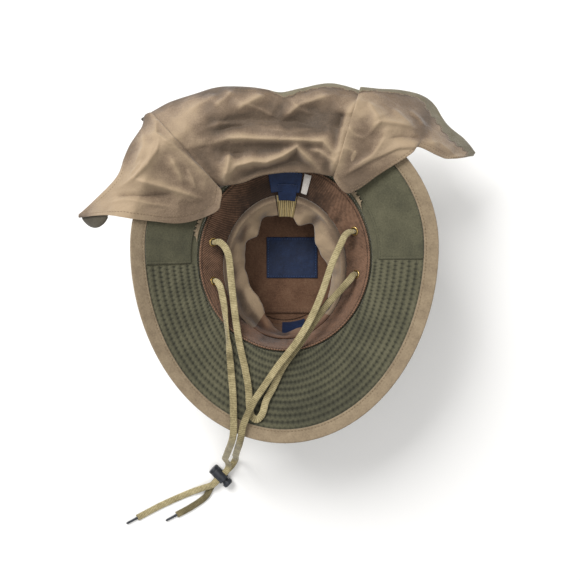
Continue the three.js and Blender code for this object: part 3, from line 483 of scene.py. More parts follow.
# Chin cord: one flat braid. Each stretch's points, in metres, are those of its solid. Worn lists dull places
# as (distance, spread, depth) in millimetres, roll the turn of the flat side as (share of length, degrees).
cordRoutes = {
    "chin_cord_left": {
        "start": "left_front", "end": None, "setAt": 19,
        "worn": [(84, 5, 0.7), (98, 3, 0.5), (140, 20, 0.3)],
        "roll": [(0, 25), (0.06, 10), (0.12, 55), (0.16, 60), (0.2, 15), (0.24, 0), (1, 0)],
        "points": [
            (-0.065, -0.028, 0.0845), (-0.0625, -0.037, 0.086), (-0.060, -0.050, 0.0885), (-0.058, -0.064, 0.0942),
            (-0.056, -0.080, 0.0964), (-0.054, -0.096, 0.0996), (-0.052, -0.115, 0.1042), (-0.050, -0.135, 0.1096),
            (-0.049, -0.153, 0.1172), (-0.0487, -0.163, 0.120), (-0.0492, -0.1715, 0.1202), (-0.0515, -0.180, 0.112),
            (-0.055, -0.189, 0.095), (-0.059, -0.1995, 0.074), (-0.0625, -0.2085, 0.050), (-0.063, -0.2155, 0.028),
            (-0.062, -0.222, 0.013), (-0.0623, -0.2265, 0.008), (-0.0645, -0.231, 0.0074), (-0.0705, -0.237, 0.0074),
            (-0.079, -0.2455, 0.0074), (-0.090, -0.250, 0.0048), (-0.105, -0.256, 0.0015), (-0.136, -0.2696, 0.0013),
            (-0.1633, -0.2839, 0.0013)],
    },
    "chin_cord_middle": {
        "start": "left_rear", "end": "right_front", "setAt": 6,
        "worn": [(150, 30, 0.2), (300, 60, 0.35)],
        "roll": [(0, 0), (1, 0)],
        "points": [
            (-0.066, 0.016, 0.085), (-0.060, 0.011, 0.0875), (-0.056, 0.002, 0.0885), (-0.0535, -0.020, 0.0885),
            (-0.051, -0.043, 0.0892), (-0.048, -0.066, 0.0917), (-0.044, -0.088, 0.0958), (-0.0385, -0.111, 0.1006),
            (-0.035, -0.130, 0.1055), (-0.034, -0.145, 0.1098), (-0.032, -0.154, 0.1122), (-0.027, -0.1575, 0.1126),
            (-0.022, -0.153, 0.1112), (-0.018, -0.140, 0.1072), (-0.011, -0.127, 0.1028), (-0.001, -0.107, 0.098),
            (0.016, -0.084, 0.095), (0.031, -0.062, 0.0905), (0.043, -0.046, 0.0885), (0.055, -0.033, 0.088),
            (0.065, -0.022, 0.086)],
    },
    "chin_cord_right": {
        "start": "right_rear", "end": None, "setAt": 21,
        "worn": [(230, 25, 0.45), (430, 40, 0.7)],
        "roll": [(0, 0), (1, 0)],
        "points": [
            (0.065, 0.026, 0.0865), (0.060, 0.022, 0.090), (0.056, 0.014, 0.092), (0.047, -0.006, 0.0925),
            (0.037, -0.035, 0.0935), (0.027, -0.058, 0.0965), (0.012, -0.083, 0.1005), (-0.006, -0.106, 0.1035),
            (-0.020, -0.126, 0.1083), (-0.029, -0.139, 0.113), (-0.035, -0.151, 0.117), (-0.0395, -0.162, 0.1194),
            (-0.0415, -0.172, 0.1204), (-0.0435, -0.180, 0.115), (-0.046, -0.1875, 0.100), (-0.0485, -0.1955, 0.080),
            (-0.051, -0.2035, 0.056), (-0.053, -0.209, 0.034), (-0.0535, -0.214, 0.016), (-0.055, -0.219, 0.006),
            (-0.059, -0.2255, 0.0046), (-0.0705, -0.237, 0.0046), (-0.079, -0.2455, 0.0044), (-0.083, -0.252, 0.0026),
            (-0.088, -0.2605, 0.0014), (-0.104, -0.272, 0.0013), (-0.1198, -0.2806, 0.0013)],
    },
}
hiddenRuns = {
    "chin_cord_behind_left": ("left_rear", "left_front"), "chin_cord_behind_right": ("right_front", "right_rear")}
cord = {
    "width": 7.0, "thickness": 2.4, "spacing": 1.5, "corners": 20, "mouth": 1.5, "lead": 2.0, "inside": 0.2,
    "gathered": 0.62, "gatherLength": 9.0, "behind": 4.5,
}


def smoothRoute(points, spacing):
    # Centripetal curve through the points, then even steps along it
    points = np.asarray(points, float)
    ends = np.vstack([2 * points[0] - points[1], points, 2 * points[-1] - points[-2]])
    curve = []
    for k in range(1, len(ends) - 2):
        p0, p1, p2, p3 = ends[k - 1:k + 3]
        d0, d1, d2 = [max(np.linalg.norm(b - a), 1e-9) ** 0.5 for a, b in ((p0, p1), (p1, p2), (p2, p3))]
        t1 = ((p1 - p0) / d0 - (p2 - p0) / (d0 + d1) + (p2 - p1) / d1) * d1
        t2 = ((p2 - p1) / d1 - (p3 - p1) / (d1 + d2) + (p3 - p2) / d2) * d1
        t = np.linspace(0, 1, 24, endpoint=False)[:, None]
        curve.append(p1 + t1 * t + (3 * (p2 - p1) - 2 * t1 - t2) * t ** 2 + (2 * (p1 - p2) + t1 + t2) * t ** 3)
    curve = np.vstack(curve + [points[-1:]])
    total = np.concatenate([[0], np.cumsum(np.linalg.norm(np.diff(curve, axis=0), axis=1))])
    at = np.linspace(0, total[-1], max(int(total[-1] / spacing), 6) + 1)
    return np.stack([np.interp(at, total, curve[:, axis]) for axis in range(3)], -1), at


def carriedFrames(route, setAt, upright):
    # Directions across the cord, carried along it without twist, broad side level or upright at one place
    tangents = np.gradient(route, axis=0)
    tangents /= np.linalg.norm(tangents, axis=1)[:, None]
    nearest = int(np.argmin(np.linalg.norm(route - setAt, axis=1)))
    up = np.array([0.0, 0.0, 1.0])
    broad = np.zeros_like(route)
    start = up if upright else np.cross(up, tangents[nearest])
    broad[nearest] = start - tangents[nearest] * (start @ tangents[nearest])
    for order in (range(nearest + 1, len(route)), range(nearest - 1, -1, -1)):
        last = broad[nearest]
        for i in order:
            last = last - tangents[i] * (last @ tangents[i])
            last = last / np.linalg.norm(last)
            broad[i] = last
    broad /= np.linalg.norm(broad, axis=1)[:, None]
    return broad, np.cross(tangents, broad)


def braidMesh(name, route, distance, broad, flat, roll, gatherStart, gatherEnd):
    length = distance[-1]
    angle = np.radians(np.interp(distance / length, [r[0] for r in roll], [r[1] for r in roll]))[:, None]
    across = broad * np.cos(angle) + flat * np.sin(angle)
    over = flat * np.cos(angle) - broad * np.sin(angle)
    gather = np.ones(len(route))
    for on, away in ((gatherStart, distance), (gatherEnd, length - distance)):
        if on:
            gather *= mix(cord["gathered"], 1, ease(away / cord["gatherLength"]))
    turn = np.linspace(0, 2 * np.pi, cord["corners"], endpoint=False)
    wide = np.sign(np.cos(turn)) * np.abs(np.cos(turn)) ** 0.75 * cord["width"] / 2
    high = np.sign(np.sin(turn)) * np.abs(np.sin(turn)) ** 0.6 * cord["thickness"] / 2
    points = (route[:, None] + across[:, None] * (wide[None] * gather[:, None])[..., None]
              + over[:, None] * (high[None] / np.sqrt(gather)[:, None])[..., None])
    around = np.append(np.where(np.sin(turn) >= 0, wide, cord["width"] - wide), wide[0])
    u, v = np.meshgrid(distance, around, indexing="ij")
    piece = sheetMesh(name, points, np.stack([u, v], -1), cloths["khakiFlatBraid"], closedColumns=True)
    mesh = piece.data
    first = list(range(cord["corners"]))
    last = [len(mesh.vertices) - cord["corners"] + i for i in first]
    grown = bpy.data.meshes.new(name)
    faces = [tuple(p.vertices) for p in mesh.polygons] + [tuple(reversed(first)), tuple(last)]
    grown.from_pydata([tuple(v.co) for v in mesh.vertices], [], faces)
    uvLayer = grown.uv_layers.new(name="cloth")
    kept = np.zeros(len(mesh.loops) * 2, np.float32)
    mesh.uv_layers["cloth"].data.foreach_get("uv", kept)
    uvLayer.data.foreach_set("uv", np.concatenate([kept, np.zeros(4 * cord["corners"], np.float32)]))
    grown.polygons.foreach_set("use_smooth", np.ones(len(faces), bool))
    grown.materials.append(cloths["khakiFlatBraid"])
    piece.data = grown
    return piece


def outwardFaces(piece):
    # Recalculates a closed piece's normals so that its faces point out
    shape = bmesh.new()
    shape.from_mesh(piece.data)
    bmesh.ops.recalc_face_normals(shape, faces=shape.faces)
    shape.to_mesh(piece.data)
    shape.free()
    return piece


cordPaths = {}
for name, plan in cordRoutes.items():
    points = [np.array(p) / mm for p in plan["points"]]
    setAt = points[plan["setAt"]]
    out = cord["mouth"] + cord["lead"]
    points = [eyeletMouth(plan["start"], cord["inside"]), eyeletMouth(plan["start"], out)] + points
    if plan["end"]:
        points += [eyeletMouth(plan["end"], out), eyeletMouth(plan["end"], cord["inside"])]
    route, distance = smoothRoute(points, cord["spacing"])
    broad, flat = carriedFrames(route, setAt, False)
    piece = braidMesh(name + "_braid", route, distance, broad, flat, plan["roll"], True, bool(plan["end"]))
    worn = sum(deep * np.exp(-((distance - at) / spread) ** 2) for at, spread, deep in plan["worn"])
    shadeCloth(piece, np.repeat(-worn + 0 * distance, cord["corners"]), 1.0)
    place(outwardFaces(piece), "khaki_braid", name)
    cordPaths[name] = route
for name, (start, end) in hiddenRuns.items():
    near = eyeletMouth(start, -cord["mouth"] - cord["behind"])
    far = eyeletMouth(end, -cord["mouth"] - cord["behind"])
    points = [eyeletMouth(start, -cord["mouth"]), eyeletMouth(start, -cord["mouth"] - cord["lead"])]
    points += [mix(near, far, share) for share in (0.2, 0.5, 0.8)]
    points += [eyeletMouth(end, -cord["mouth"] - cord["lead"]), eyeletMouth(end, -cord["mouth"])]
    route, distance = smoothRoute(points, cord["spacing"])
    broad, flat = carriedFrames(route, mix(near, far, 0.5), True)
    piece = braidMesh(name + "_braid", route, distance, broad, flat, [(0, 0), (1, 0)], True, True)
    place(outwardFaces(piece), "khaki_braid", name)
    cordPaths[name] = route
print("cords laid")


# Turned pieces: a closed profile of (radius, height) pairs swept round an axis
def turnedMesh(name, profile, sides, centre, axis, material):
    profile = np.asarray(profile, float)
    axis = Vector(axis).normalized()
    side = axis.orthogonal().normalized()
    other = axis.cross(side)
    turn = np.linspace(0, 2 * np.pi, sides, endpoint=False)
    ring = np.cos(turn)[:, None] * np.array(side) + np.sin(turn)[:, None] * np.array(other)
    points = np.asarray(centre) + profile[:, None, :1] * ring[None] + profile[:, None, 1:] * np.array(axis)
    piece = sheetMesh(name, points, clothUv(points, True, True), material, closedRows=True, closedColumns=True)
    return outwardFaces(piece)


def roundedProfile(corners, radius, steps=4):
    # Rounds each corner of a closed outline of (radius, height) pairs
    corners = np.asarray(corners, float)
    out = []
    for i, point in enumerate(corners):
        before, after = corners[i - 1] - point, corners[(i + 1) % len(corners)] - point
        cut = min(radius, np.linalg.norm(before) * 0.45, np.linalg.norm(after) * 0.45)
        a = point + before / np.linalg.norm(before) * cut
        b = point + after / np.linalg.norm(after) * cut
        for t in np.linspace(0, 1, steps):
            out.append((1 - t) ** 2 * a + 2 * t * (1 - t) * point + t * t * b)
    return np.array(out)


for name, (centre, normal) in eyeletSeats.items():
    hole, flange = eyeletSize["hole"] / 2, eyeletSize["flange"] / 2
    low, high = eyeletSize["lift"], eyeletSize["lift"] + eyeletSize["metal"]
    barrel = eyeletSize["barrel"] / 2
    profile = [
        (hole, -high), (flange, -high), (flange, -low), (barrel, -low), (barrel, low - 0.25), (flange, low - 0.25),
        (flange - 0.1, high), (flange - 1.2, high + 0.22), (hole + 0.5, high - 0.1), (hole, high - 0.7)]
    piece = turnedMesh("eyelet_" + name + "_rolled", roundedProfile(profile, 0.35), eyeletSize["sides"],
                       centre, normal, finishes["rolledBrass"])
    place(piece, "brass", "eyelet_" + name)

aglet = {"diameter": 3.0, "length": 13.5, "gap": 0.3}
for side in ("left", "right"):
    route = cordPaths["chin_cord_" + side]
    along = route[-1] - route[-3]
    along[2] = 0
    along /= np.linalg.norm(along)
    radius = aglet["diameter"] / 2
    centre = np.array([route[-1][0], route[-1][1], radius])
    start, end = aglet["gap"] - 1.2, aglet["gap"] + aglet["length"]
    profile = [
        (0.01, start), (radius * 0.9, start), (radius, start + 1.5), (radius * 0.82, start + 4),
        (radius * 0.8, end - 2), (radius * 0.6, end - 0.3), (0.01, end)]
    piece = turnedMesh("aglet_" + side + "_sleeve", roundedProfile(profile, 0.5), 24, centre, along,
                       finishes["blackAcetal"])
    place(piece, "black_plastic", "aglet_" + side)
print("eyelets and aglets made")


# Stitches: one tree lays threads end to end along polylines
def stitchTree():
    tree = bpy.data.node_groups.new("stitchRow", "GeometryNodeTree")
    sockets = {}
    for label, kind in (("Line", "NodeSocketGeometry"), ("Stitch", "NodeSocketFloat"), ("Gap", "NodeSocketFloat"),
                        ("Thread", "NodeSocketFloat"), ("Wander", "NodeSocketFloat"), ("Seed", "NodeSocketInt"),
                        ("Finish", "NodeSocketMaterial")):
        sockets[label] = tree.interface.new_socket(name=label, in_out="INPUT", socket_type=kind).identifier
    tree.interface.new_socket(name="Stitches", in_out="OUTPUT", socket_type="NodeSocketGeometry")
    given = addNode(tree, "NodeGroupInput")
    pitch = addNode(tree, "ShaderNodeMath", {"operation": "ADD"}, {
        0: given.outputs["Stitch"], 1: given.outputs["Gap"]})
    line = addNode(tree, "GeometryNodeMeshToCurve", None, {"Mesh": given.outputs["Line"]})
    stations = addNode(tree, "GeometryNodeResampleCurve", {"mode": "LENGTH"}, {
        "Curve": line.outputs["Curve"], "Length": pitch.outputs[0]})
    bead = addNode(tree, "GeometryNodeMeshUVSphere", None, {"Segments": 6, "Rings": 4, "Radius": 0.5})
    size = addNode(tree, "ShaderNodeCombineXYZ", None, {
        "X": given.outputs["Thread"], "Y": given.outputs["Thread"], "Z": given.outputs["Stitch"]})
    thread = addNode(tree, "GeometryNodeTransform", None, {
        "Geometry": bead.outputs["Mesh"], "Scale": size.outputs[0]})
    tangent = addNode(tree, "GeometryNodeInputTangent")
    wander = addNode(tree, "FunctionNodeRandomValue", {"data_type": "FLOAT_VECTOR"}, {
        "Min": (-1, -1, -1), "Max": (1, 1, 1), "Seed": given.outputs["Seed"]})
    off = addNode(tree, "ShaderNodeVectorMath", {"operation": "SCALE"}, {
        0: wander.outputs[0], "Scale": given.outputs["Wander"]})
    aim = addNode(tree, "ShaderNodeVectorMath", {"operation": "ADD"}, {0: tangent.outputs[0], 1: off.outputs[0]})
    turn = addNode(tree, "FunctionNodeAlignRotationToVector", {"axis": "Z"}, {"Vector": aim.outputs[0]})
    laid = addNode(tree, "GeometryNodeInstanceOnPoints", None, {
        "Points": stations.outputs["Curve"], "Instance": thread.outputs["Geometry"], "Rotation": turn.outputs[0]})
    real = addNode(tree, "GeometryNodeRealizeInstances", None, {"Geometry": laid.outputs["Instances"]})
    smooth = addNode(tree, "GeometryNodeSetShadeSmooth", None, {"Geometry": real.outputs["Geometry"]})
    done = addNode(tree, "GeometryNodeSetMaterial", None, {
        "Geometry": smooth.outputs["Geometry"], "Material": given.outputs["Finish"]})
    addNode(tree, "NodeGroupOutput", None, {"Stitches": done.outputs["Geometry"]})
    return tree, sockets


stitches, stitchSockets = stitchTree()


def sewRows(name, lines, size, material, slot, on=body):
    # lines are polylines in millimetres; size gives stitch, gap and thread in millimetres
    vertices = np.vstack(lines) * mm
    edges, start = [], 0
    for one in lines:
        edges += [(start + i, start + i + 1) for i in range(len(one) - 1)]
        start += len(one)
    mesh = bpy.data.meshes.new(name)
    mesh.from_pydata(vertices.tolist(), edges, [])
    piece = bpy.data.objects.new(name, mesh)
    bpy.context.scene.collection.objects.link(piece)
    modifier = piece.modifiers.new("stitches", "NODES")
    modifier.node_group = stitches
    modifier[stitchSockets["Stitch"]] = size["stitch"] * mm
    modifier[stitchSockets["Gap"]] = size["gap"] * mm
    modifier[stitchSockets["Thread"]] = size["thread"] * mm
    modifier[stitchSockets["Wander"]] = size.get("wander", 0.08)
    modifier[stitchSockets["Seed"]] = size.get("seed", 3)
    modifier[stitchSockets["Finish"]] = material
    return place(settle(piece), slot, on=on)


# Crown: outer nylon and brown lining in one wall, the tip flat on the floor
crown = {
    "wall": 1.6, "tipHalfWidth": 64.0, "tipHalfLength": 72.0, "columns": 300, "rows": 90, "tipRows": 16,
    "rise": [0, 0.02, 0.07, 0.25, 0.5, 0.75, 1], "spread": [-0.26, -0.07, 0.06, 0.36, 0.72, 0.92, 1],
    "dent": 1.1, "dentSize": 34.0,
}


def crownSurface():
    angle = np.linspace(0, 2 * np.pi, crown["columns"], endpoint=False)
    wallRows = np.linspace(0, len(crown["rise"]) - 1, crown["rows"])
    at = np.concatenate([np.zeros(crown["tipRows"]), wallRows])
    scale = np.concatenate([np.linspace(0.02, 0.97, crown["tipRows"]), np.ones(crown["rows"])])
    rise = clamp(smoothColumn(crown["rise"], at), 0, 1)
    spread = smoothColumn(crown["spread"], at)
    rim = hat["crownHeight"] - hat["brimWall"] / 2 - hat["seamGap"]
    halfWidth = mix(crown["tipHalfWidth"], hat["openingHalfWidth"], spread) * scale
    halfLength = mix(crown["tipHalfLength"], hat["openingHalfLength"], spread) * scale
    points = np.stack([halfWidth[:, None] * np.cos(angle), halfLength[:, None] * np.sin(angle),
                       np.broadcast_to((rise * rim)[:, None], (len(rise), len(angle)))], -1)
    soft = (np.sin(np.pi * clamp(rise, 0, 1)) ** 0.8)[:, None]
    dent = (ripple(points, crown["dentSize"], 2, 4.0) - 0.45) * crown["dent"] * soft
    seam = np.exp(-((rise[:, None] - 0.1) * rim / 1.4) ** 2) * 0.5
    for middle in (0.0, np.pi):
        away = np.angle(np.exp(1j * (angle - middle))) * hat["openingHalfWidth"]
        seam = seam + 0.45 * np.exp(-(away / 1.6) ** 2)[None] * soft
    outward = np.stack([np.cos(angle), np.sin(angle), np.zeros_like(angle)], -1)
    pushed = dent - 0.9 * soft + seam * np.sign(rise[:, None] + 1e-9) * (rise[:, None] > 0.01)
    return points + outward[None] * pushed[..., None]


crownPoints = crownSurface()
crownPiece = sheetMesh("crown_cloth", crownPoints, clothUv(crownPoints, False, True),
                       [cloths["oliveBrushedNylon"], cloths["brownLining"]], closedColumns=True)
outwardFaces(crownPiece)
thicken(crownPiece, crown["wall"], 1, -1.0)
place(crownPiece, "olive_nylon", "crown")

crownSeams = []
crownRises = clamp(smoothColumn(crown["rise"], np.linspace(0, len(crown["rise"]) - 1, crown["rows"])))
for height in (0.085, 0.125):
    row = crown["tipRows"] + int(np.argmin(np.abs(crownRises - height)))
    crownSeams.append(np.vstack([crownPoints[row], crownPoints[row][:1]]))
for middle in (0, crown["columns"] // 2):
    for beside in (-2, 2):
        crownSeams.append(crownPoints[crown["tipRows"] + 28:-4, (middle + beside) % crown["columns"]])
sewRows("crown_stitches", crownSeams, {"stitch": 2.4, "gap": 0.7, "thread": 0.55}, finishes["oliveThread"],
        "olive_nylon")
print("crown sewn")


# Brim: padded ring. The front of its underside is quilted in rows that run beside the edge.
brim = {
    "wall": 3.0, "frontColumns": 560, "rearColumns": 150, "upperRows": 96, "lowerRows": 30,
    "bindingWidth": 11.5, "rowSpacing": 6.2, "stitchPitch": 5.0, "puff": 1.4, "plainPuff": 0.25,
    "frontFrom": 183.0, "frontTo": 360.0,
}
quiltSide = {"from": 183.6, "to": 359.0}


def rowCoordinates(angle, share):
    inset = (1 - share) * (edgeRadius(angle) - openingRadius(angle))
    rows = (inset - brim["bindingWidth"]) / brim["rowSpacing"]
    table = np.linspace(0, 2 * np.pi, 2000)
    edge = brimPoint(table, 0.75, 0.0)
    total = np.concatenate([[0], np.cumsum(np.linalg.norm(np.diff(edge, axis=0), axis=1))])
    along = np.interp(np.mod(angle, 2 * np.pi), table, total)
    return rows, along / brim["stitchPitch"]


def quiltHeight(angle, share):
    rows, along = rowCoordinates(angle, share)
    across = np.abs(np.sin(np.pi * rows))
    phase = 0.5 * np.round(rows) % 1
    holes = np.abs(np.sin(np.pi * (along + phase)))
    pillow = across ** 0.7 * (0.7 + 0.3 * holes ** 0.8)
    pinch = np.exp(-(np.minimum(rows % 1, 1 - rows % 1) / 0.2) ** 2) * np.exp(-(holes / 0.35) ** 2)
    return pillow - 0.55 * pinch


def brimSurface():
    front = np.radians(np.linspace(brim["frontFrom"], brim["frontTo"], brim["frontColumns"], endpoint=False))
    rear = np.radians(np.linspace(brim["frontTo"] - 360, brim["frontFrom"], brim["rearColumns"], endpoint=False))
    angle = np.concatenate([rear, front])
    upper = np.linspace(0, 1, brim["upperRows"])
    lower = np.linspace(1, 0, brim["lowerRows"])
    share = np.concatenate([upper, lower])
    side = np.concatenate([np.ones(len(upper)), -np.ones(len(lower))])
    degrees = np.degrees(angle) % 360
    quilted = ease((degrees - quiltSide["from"]) / 1.5) * ease((quiltSide["to"] - degrees) / 1.5)
    grid, ring = np.meshgrid(share, angle, indexing="ij")
    inBand = ease((1 - grid) * (edgeRadius(ring) - openingRadius(ring)) / 3 - 10.5 / 3)
    pattern = quiltHeight(ring, grid)
    upperSide = side[:, None] > 0
    lift = np.where(upperSide, quilted * inBand * (pattern - 0.35) * brim["puff"], pattern * brim["plainPuff"] * 0.6)
    centre = brimPoint(ring, grid, 0.0)
    wave = ripple(centre * np.array([1, 1, 0.2]), 60.0, 2, 9.0) * 0.8 * ease(grid * 2)
    height = centre[..., 2] + side[:, None] * (brim["wall"] / 2) + np.where(upperSide, 1, -1) * (lift - 0.1)
    centre[..., 2] = height + 0.5 * wave * np.where(upperSide, inBand, 0)
    rows, along = rowCoordinates(ring, grid)
    holes = np.abs(np.sin(np.pi * (along + 0.5 * np.round(rows) % 1)))
    dimple = np.exp(-(np.abs(rows - np.round(rows)) / 0.17) ** 2) * np.exp(-(holes / 0.38) ** 2)
    # Painted shade in the quilting's rows and dimples and painted highlight on its pillows
    relief = np.where(upperSide, quilted * inBand * (0.42 * (pattern - 0.62) - 0.55 * dimple), 0.0)
    # Broad painted shade on the front of the quilted side
    lowLight = np.exp(-((np.degrees(ring) % 360 - 278) / 30) ** 2) * 0.16
    relief = relief - np.where(upperSide, lowLight * inBand, 0.0)
    return centre, relief


brimPoints, brimPaintedShading = brimSurface()
brimPiece = sheetMesh("brim_cloth", brimPoints, clothUv(brimPoints, True, True), cloths["oliveBrushedNylon"],
                      closedRows=True, closedColumns=True)
outwardFaces(brimPiece)
shadeCloth(brimPiece, brimPaintedShading, 0.55)
place(brimPiece, "olive_nylon", "brim")


def brimLine(inset, fromDegrees, toDegrees, lift, step=1.2):
    count = int(abs(toDegrees - fromDegrees) / 360 * 950 / step)
    angle = np.radians(np.linspace(fromDegrees, toDegrees, count))
    share = shareInset(angle, inset)
    keep = share > 0.02
    return brimPoint(angle, share, lift)[keep]


quiltRows = []
for row in range(1, 13):
    line = brimLine(brim["bindingWidth"] + row * brim["rowSpacing"], quiltSide["from"] + 0.5, quiltSide["to"] - 0.5,
                    brim["wall"] / 2 - 0.55)
    gaps = np.linalg.norm(np.diff(line, axis=0), axis=1) > 6 if len(line) > 3 else np.array([])
    starts = [0] + [int(i) + 1 for i in np.nonzero(gaps)[0]] + [len(line)]
    quiltRows += [line[a:b] for a, b in zip(starts, starts[1:]) if b - a > 4]
sewRows("quilt_stitches", quiltRows, {"stitch": 2.6, "gap": 2.4, "thread": 0.5}, finishes["oliveThread"],
        "olive_nylon")
print("brim quilted")


# Binding: tape folded round the edge
binding = {"width": 11.5, "wall": 1.0, "columns": 620, "pucker": 0.28, "stitchInset": 9.8}


def bindingSurface():
    angle = np.linspace(0, 2 * np.pi, binding["columns"], endpoint=False)
    near = brim["wall"] / 2 + hat["seamGap"]
    far = near + binding["wall"]
    width, tip = binding["width"], hat["seamGap"] + binding["wall"]
    section = [(width + 0.2, near + 0.1), (width + 0.1, far - 0.25), (width - 0.7, far + 0.05)]
    for inset in (10.2, 9.8, 9.3, 8, 6, 4, 2, 0.6):
        section.append((inset, far - 0.12 * math.exp(-((inset - binding["stitchInset"]) / 0.8) ** 2) * 3))
    section += [(-tip * math.sin(a), far * math.cos(a)) for a in np.radians([20, 45, 70, 90, 110, 135, 160])]
    section += [(inset, -far) for inset in (0.6, 3, 6, 9)] + [(width - 0.4, -far + 0.1), (width, -near - 0.1)]
    section += [(6, -near), (0.5, -near), (-hat["seamGap"] * 0.6, 0.0), (0.5, near), (6, near)]
    rows = []
    for inset, lift in section:
        rows.append(brimPoint(angle, shareInset(angle, inset), lift))
    points = np.stack(rows)
    pucker = ripple(points, 5.0, 2, 21.0) * binding["pucker"] + ripple(points, 24.0, 2, 5.0) * 0.25
    outer = np.array([1.0 if abs(lift) > near + 0.3 else 0.0 for _, lift in section])
    points[..., 2] += pucker * outer[:, None] * np.sign([lift if lift else 1.0 for _, lift in section])[:, None]
    return points


bindingPoints = bindingSurface()
bindingPiece = sheetMesh("brim_binding_tape", bindingPoints, clothUv(bindingPoints, True, True),
                         cloths["tanBindingTape"], closedRows=True, closedColumns=True)
place(outwardFaces(bindingPiece), "tan_tape", "brim_binding")
bindingTop = brim["wall"] / 2 + hat["seamGap"] + binding["wall"]
sewRows("binding_stitches", [brimLine(binding["stitchInset"], 0, 360, bindingTop + 0.05, 0.9),
                             brimLine(binding["stitchInset"], 0, 360, -bindingTop - 0.05, 0.9)],
        {"stitch": 2.0, "gap": 1.3, "thread": 0.75}, finishes["tanThread"], "tan_tape")
print("binding sewn")


# Cape pocket: a plain panel over the rear underside of the brim
pocket = {"wall": 1.1, "from": -1.0, "to": 183.5, "columns": 260, "rows": 46, "bulge": 0.9, "inner": 0.1}


def pocketSurface():
    angle = np.radians(np.linspace(pocket["from"], pocket["to"], pocket["columns"]))
    outer = shareInset(angle, brim["bindingWidth"] + 2 * hat["seamGap"])
    across = np.linspace(0, 1, pocket["rows"])
    share = mix(pocket["inner"], outer[:, None], across[None])
    lift = brim["wall"] / 2 + hat["seamGap"] + pocket["wall"] / 2
    points = brimPoint(angle[:, None], share, lift)
    fromEnd = np.minimum(np.arange(len(angle)), np.arange(len(angle))[::-1]) * 1.6
    hem = np.exp(-((fromEnd - 2.6) / 1.0) ** 2)[:, None] * 0.35
    soft = (np.sin(np.pi * across) ** 0.6)[None] * ease(fromEnd / 12)[:, None]
    points[..., 2] += soft * (0.35 + 0.5 * ripple(points, 30.0, 3, 2.0)) * pocket["bulge"] - hem
    return points


pocketPoints = pocketSurface()
pocketPiece = sheetMesh("cape_pocket_cloth", pocketPoints, clothUv(pocketPoints), cloths["oliveBrushedNylon"])
outwardFaces(pocketPiece)
thicken(pocketPiece, pocket["wall"])
place(pocketPiece, "olive_nylon", "cape_pocket")
pocketStitches = [pocketPoints[2, 2:-2] + [0, 0, 0.6], pocketPoints[-3, 2:-2] + [0, 0, 0.6],
                  pocketPoints[2:-2, 2] + [0, 0, 0.6], pocketPoints[2:-2, -2] + [0, 0, 0.6]]
sewRows("pocket_stitches", pocketStitches, {"stitch": 2.2, "gap": 0.8, "thread": 0.5}, finishes["oliveThread"],
        "olive_nylon")


# Raw tan edge of the cape's lining, frayed where it shows between pocket and sweatband
fray = {"spans": [(32.0, 60.0), (152.0, 170.0)], "wide": 3.4, "lift": 0.6, "wall": 0.5, "ragged": 1.5}
for number, (start, end) in enumerate(fray["spans"]):
    angle = np.radians(np.linspace(start, end, 90))[:, None]
    across = np.linspace(0, 1, 7)[None]
    ends = ease((angle - angle[0]) / 0.1) * ease((angle[-1] - angle) / 0.1)
    ragged = 1 + 0.3 * np.sin(angle * 190) * np.sin(angle * 71) * fray["ragged"]
    share = 0.02 + across * fray["wide"] * ragged * ends / 56
    edge = brimPoint(angle, share, brim["wall"] / 2 + hat["seamGap"] + pocket["wall"] + fray["lift"])
    edge[..., 2] += 0.5 * np.sin(angle * 120) * across
    piece = sheetMesh("frayed_edge_" + str(number + 1), edge, clothUv(edge), cloths["tanBindingTape"])
    outwardFaces(piece)
    thicken(piece, fray["wall"])
    place(piece, "tan_nylon")


# Sweatband: brown twill, its lower edge loose and rippled
def bandRipple(angle, depth):
    size = sweatband["rippleSize"]
    at = np.stack(np.broadcast_arrays(80 * np.cos(angle), 80 * np.sin(angle), depth * 12), -1)
    return ripple(at, size, 3, 7.0) * sweatband["rippleDepth"] * ease(depth * 1.3)


def sweatbandSurface():
    angle = np.linspace(0, 2 * np.pi, sweatband["columns"], endpoint=False)
    depth = np.linspace(0, 1, sweatband["rows"])
    ring, deep = np.meshgrid(angle, depth, indexing="ij")
    stitched = 0.35 * np.exp(-((deep - 0.07) / 0.03) ** 2) + 0.3 * np.exp(-((deep - 0.9) / 0.03) ** 2)
    seat = np.ones_like(ring)
    for where, at in eyeletPlaces.values():
        away = np.hypot(np.angle(np.exp(1j * (ring - math.radians(where)))) * 78, (deep - at) * sweatband["height"])
        seat *= ease((away - 4.5) / 6)
    return bandPoint(ring, deep, bandRipple(ring, deep) * seat - stitched * seat)


bandPoints = sweatbandSurface()
bandPiece = sheetMesh("sweatband_twill", bandPoints, clothUv(bandPoints, True, False), cloths["brownCottonTwill"],
                      closedRows=True)
outwardFaces(bandPiece)
bandDegrees = np.degrees(np.linspace(0, 2 * np.pi, sweatband["columns"], endpoint=False))[:, None]
bandDepth = np.linspace(0, 1, sweatband["rows"])[None]
# Painted shade on the sweatband: darkest at the rear, where the cape shades it, with painted shade and highlight across
# its ripples, painted shade along the upper stitch row, and a little paler towards the upper edge
worn = 0.4 * (1 - bandDepth) - 1.1 * np.exp(-((bandDegrees - 98) / 52) ** 2) * ease(0.4 + bandDepth)
bandHeight = bandRipple(np.radians(bandDegrees) + 0 * bandDepth, bandDepth + 0 * bandDegrees)
shadeCloth(bandPiece, worn + bandHeight * 0.5 - 0.5 * np.exp(-((bandDepth - 0.07) / 0.02) ** 2), 1.0)
shape = bmesh.new()
shape.from_mesh(bandPiece.data)
inEyelets = []
for face in shape.faces:
    middle = np.array(face.calc_center_median()) / mm
    if any(np.linalg.norm(middle - centre) < eyeletSize["bandHole"] for centre, _ in eyeletSeats.values()):
        inEyelets.append(face)
bmesh.ops.delete(shape, geom=inEyelets, context="FACES")
shape.to_mesh(bandPiece.data)
shape.free()
thicken(bandPiece, sweatband["wall"])
place(bandPiece, "brown_twill", "sweatband")
bandAngles = np.linspace(0, 2 * np.pi, 720)
bandRows = []
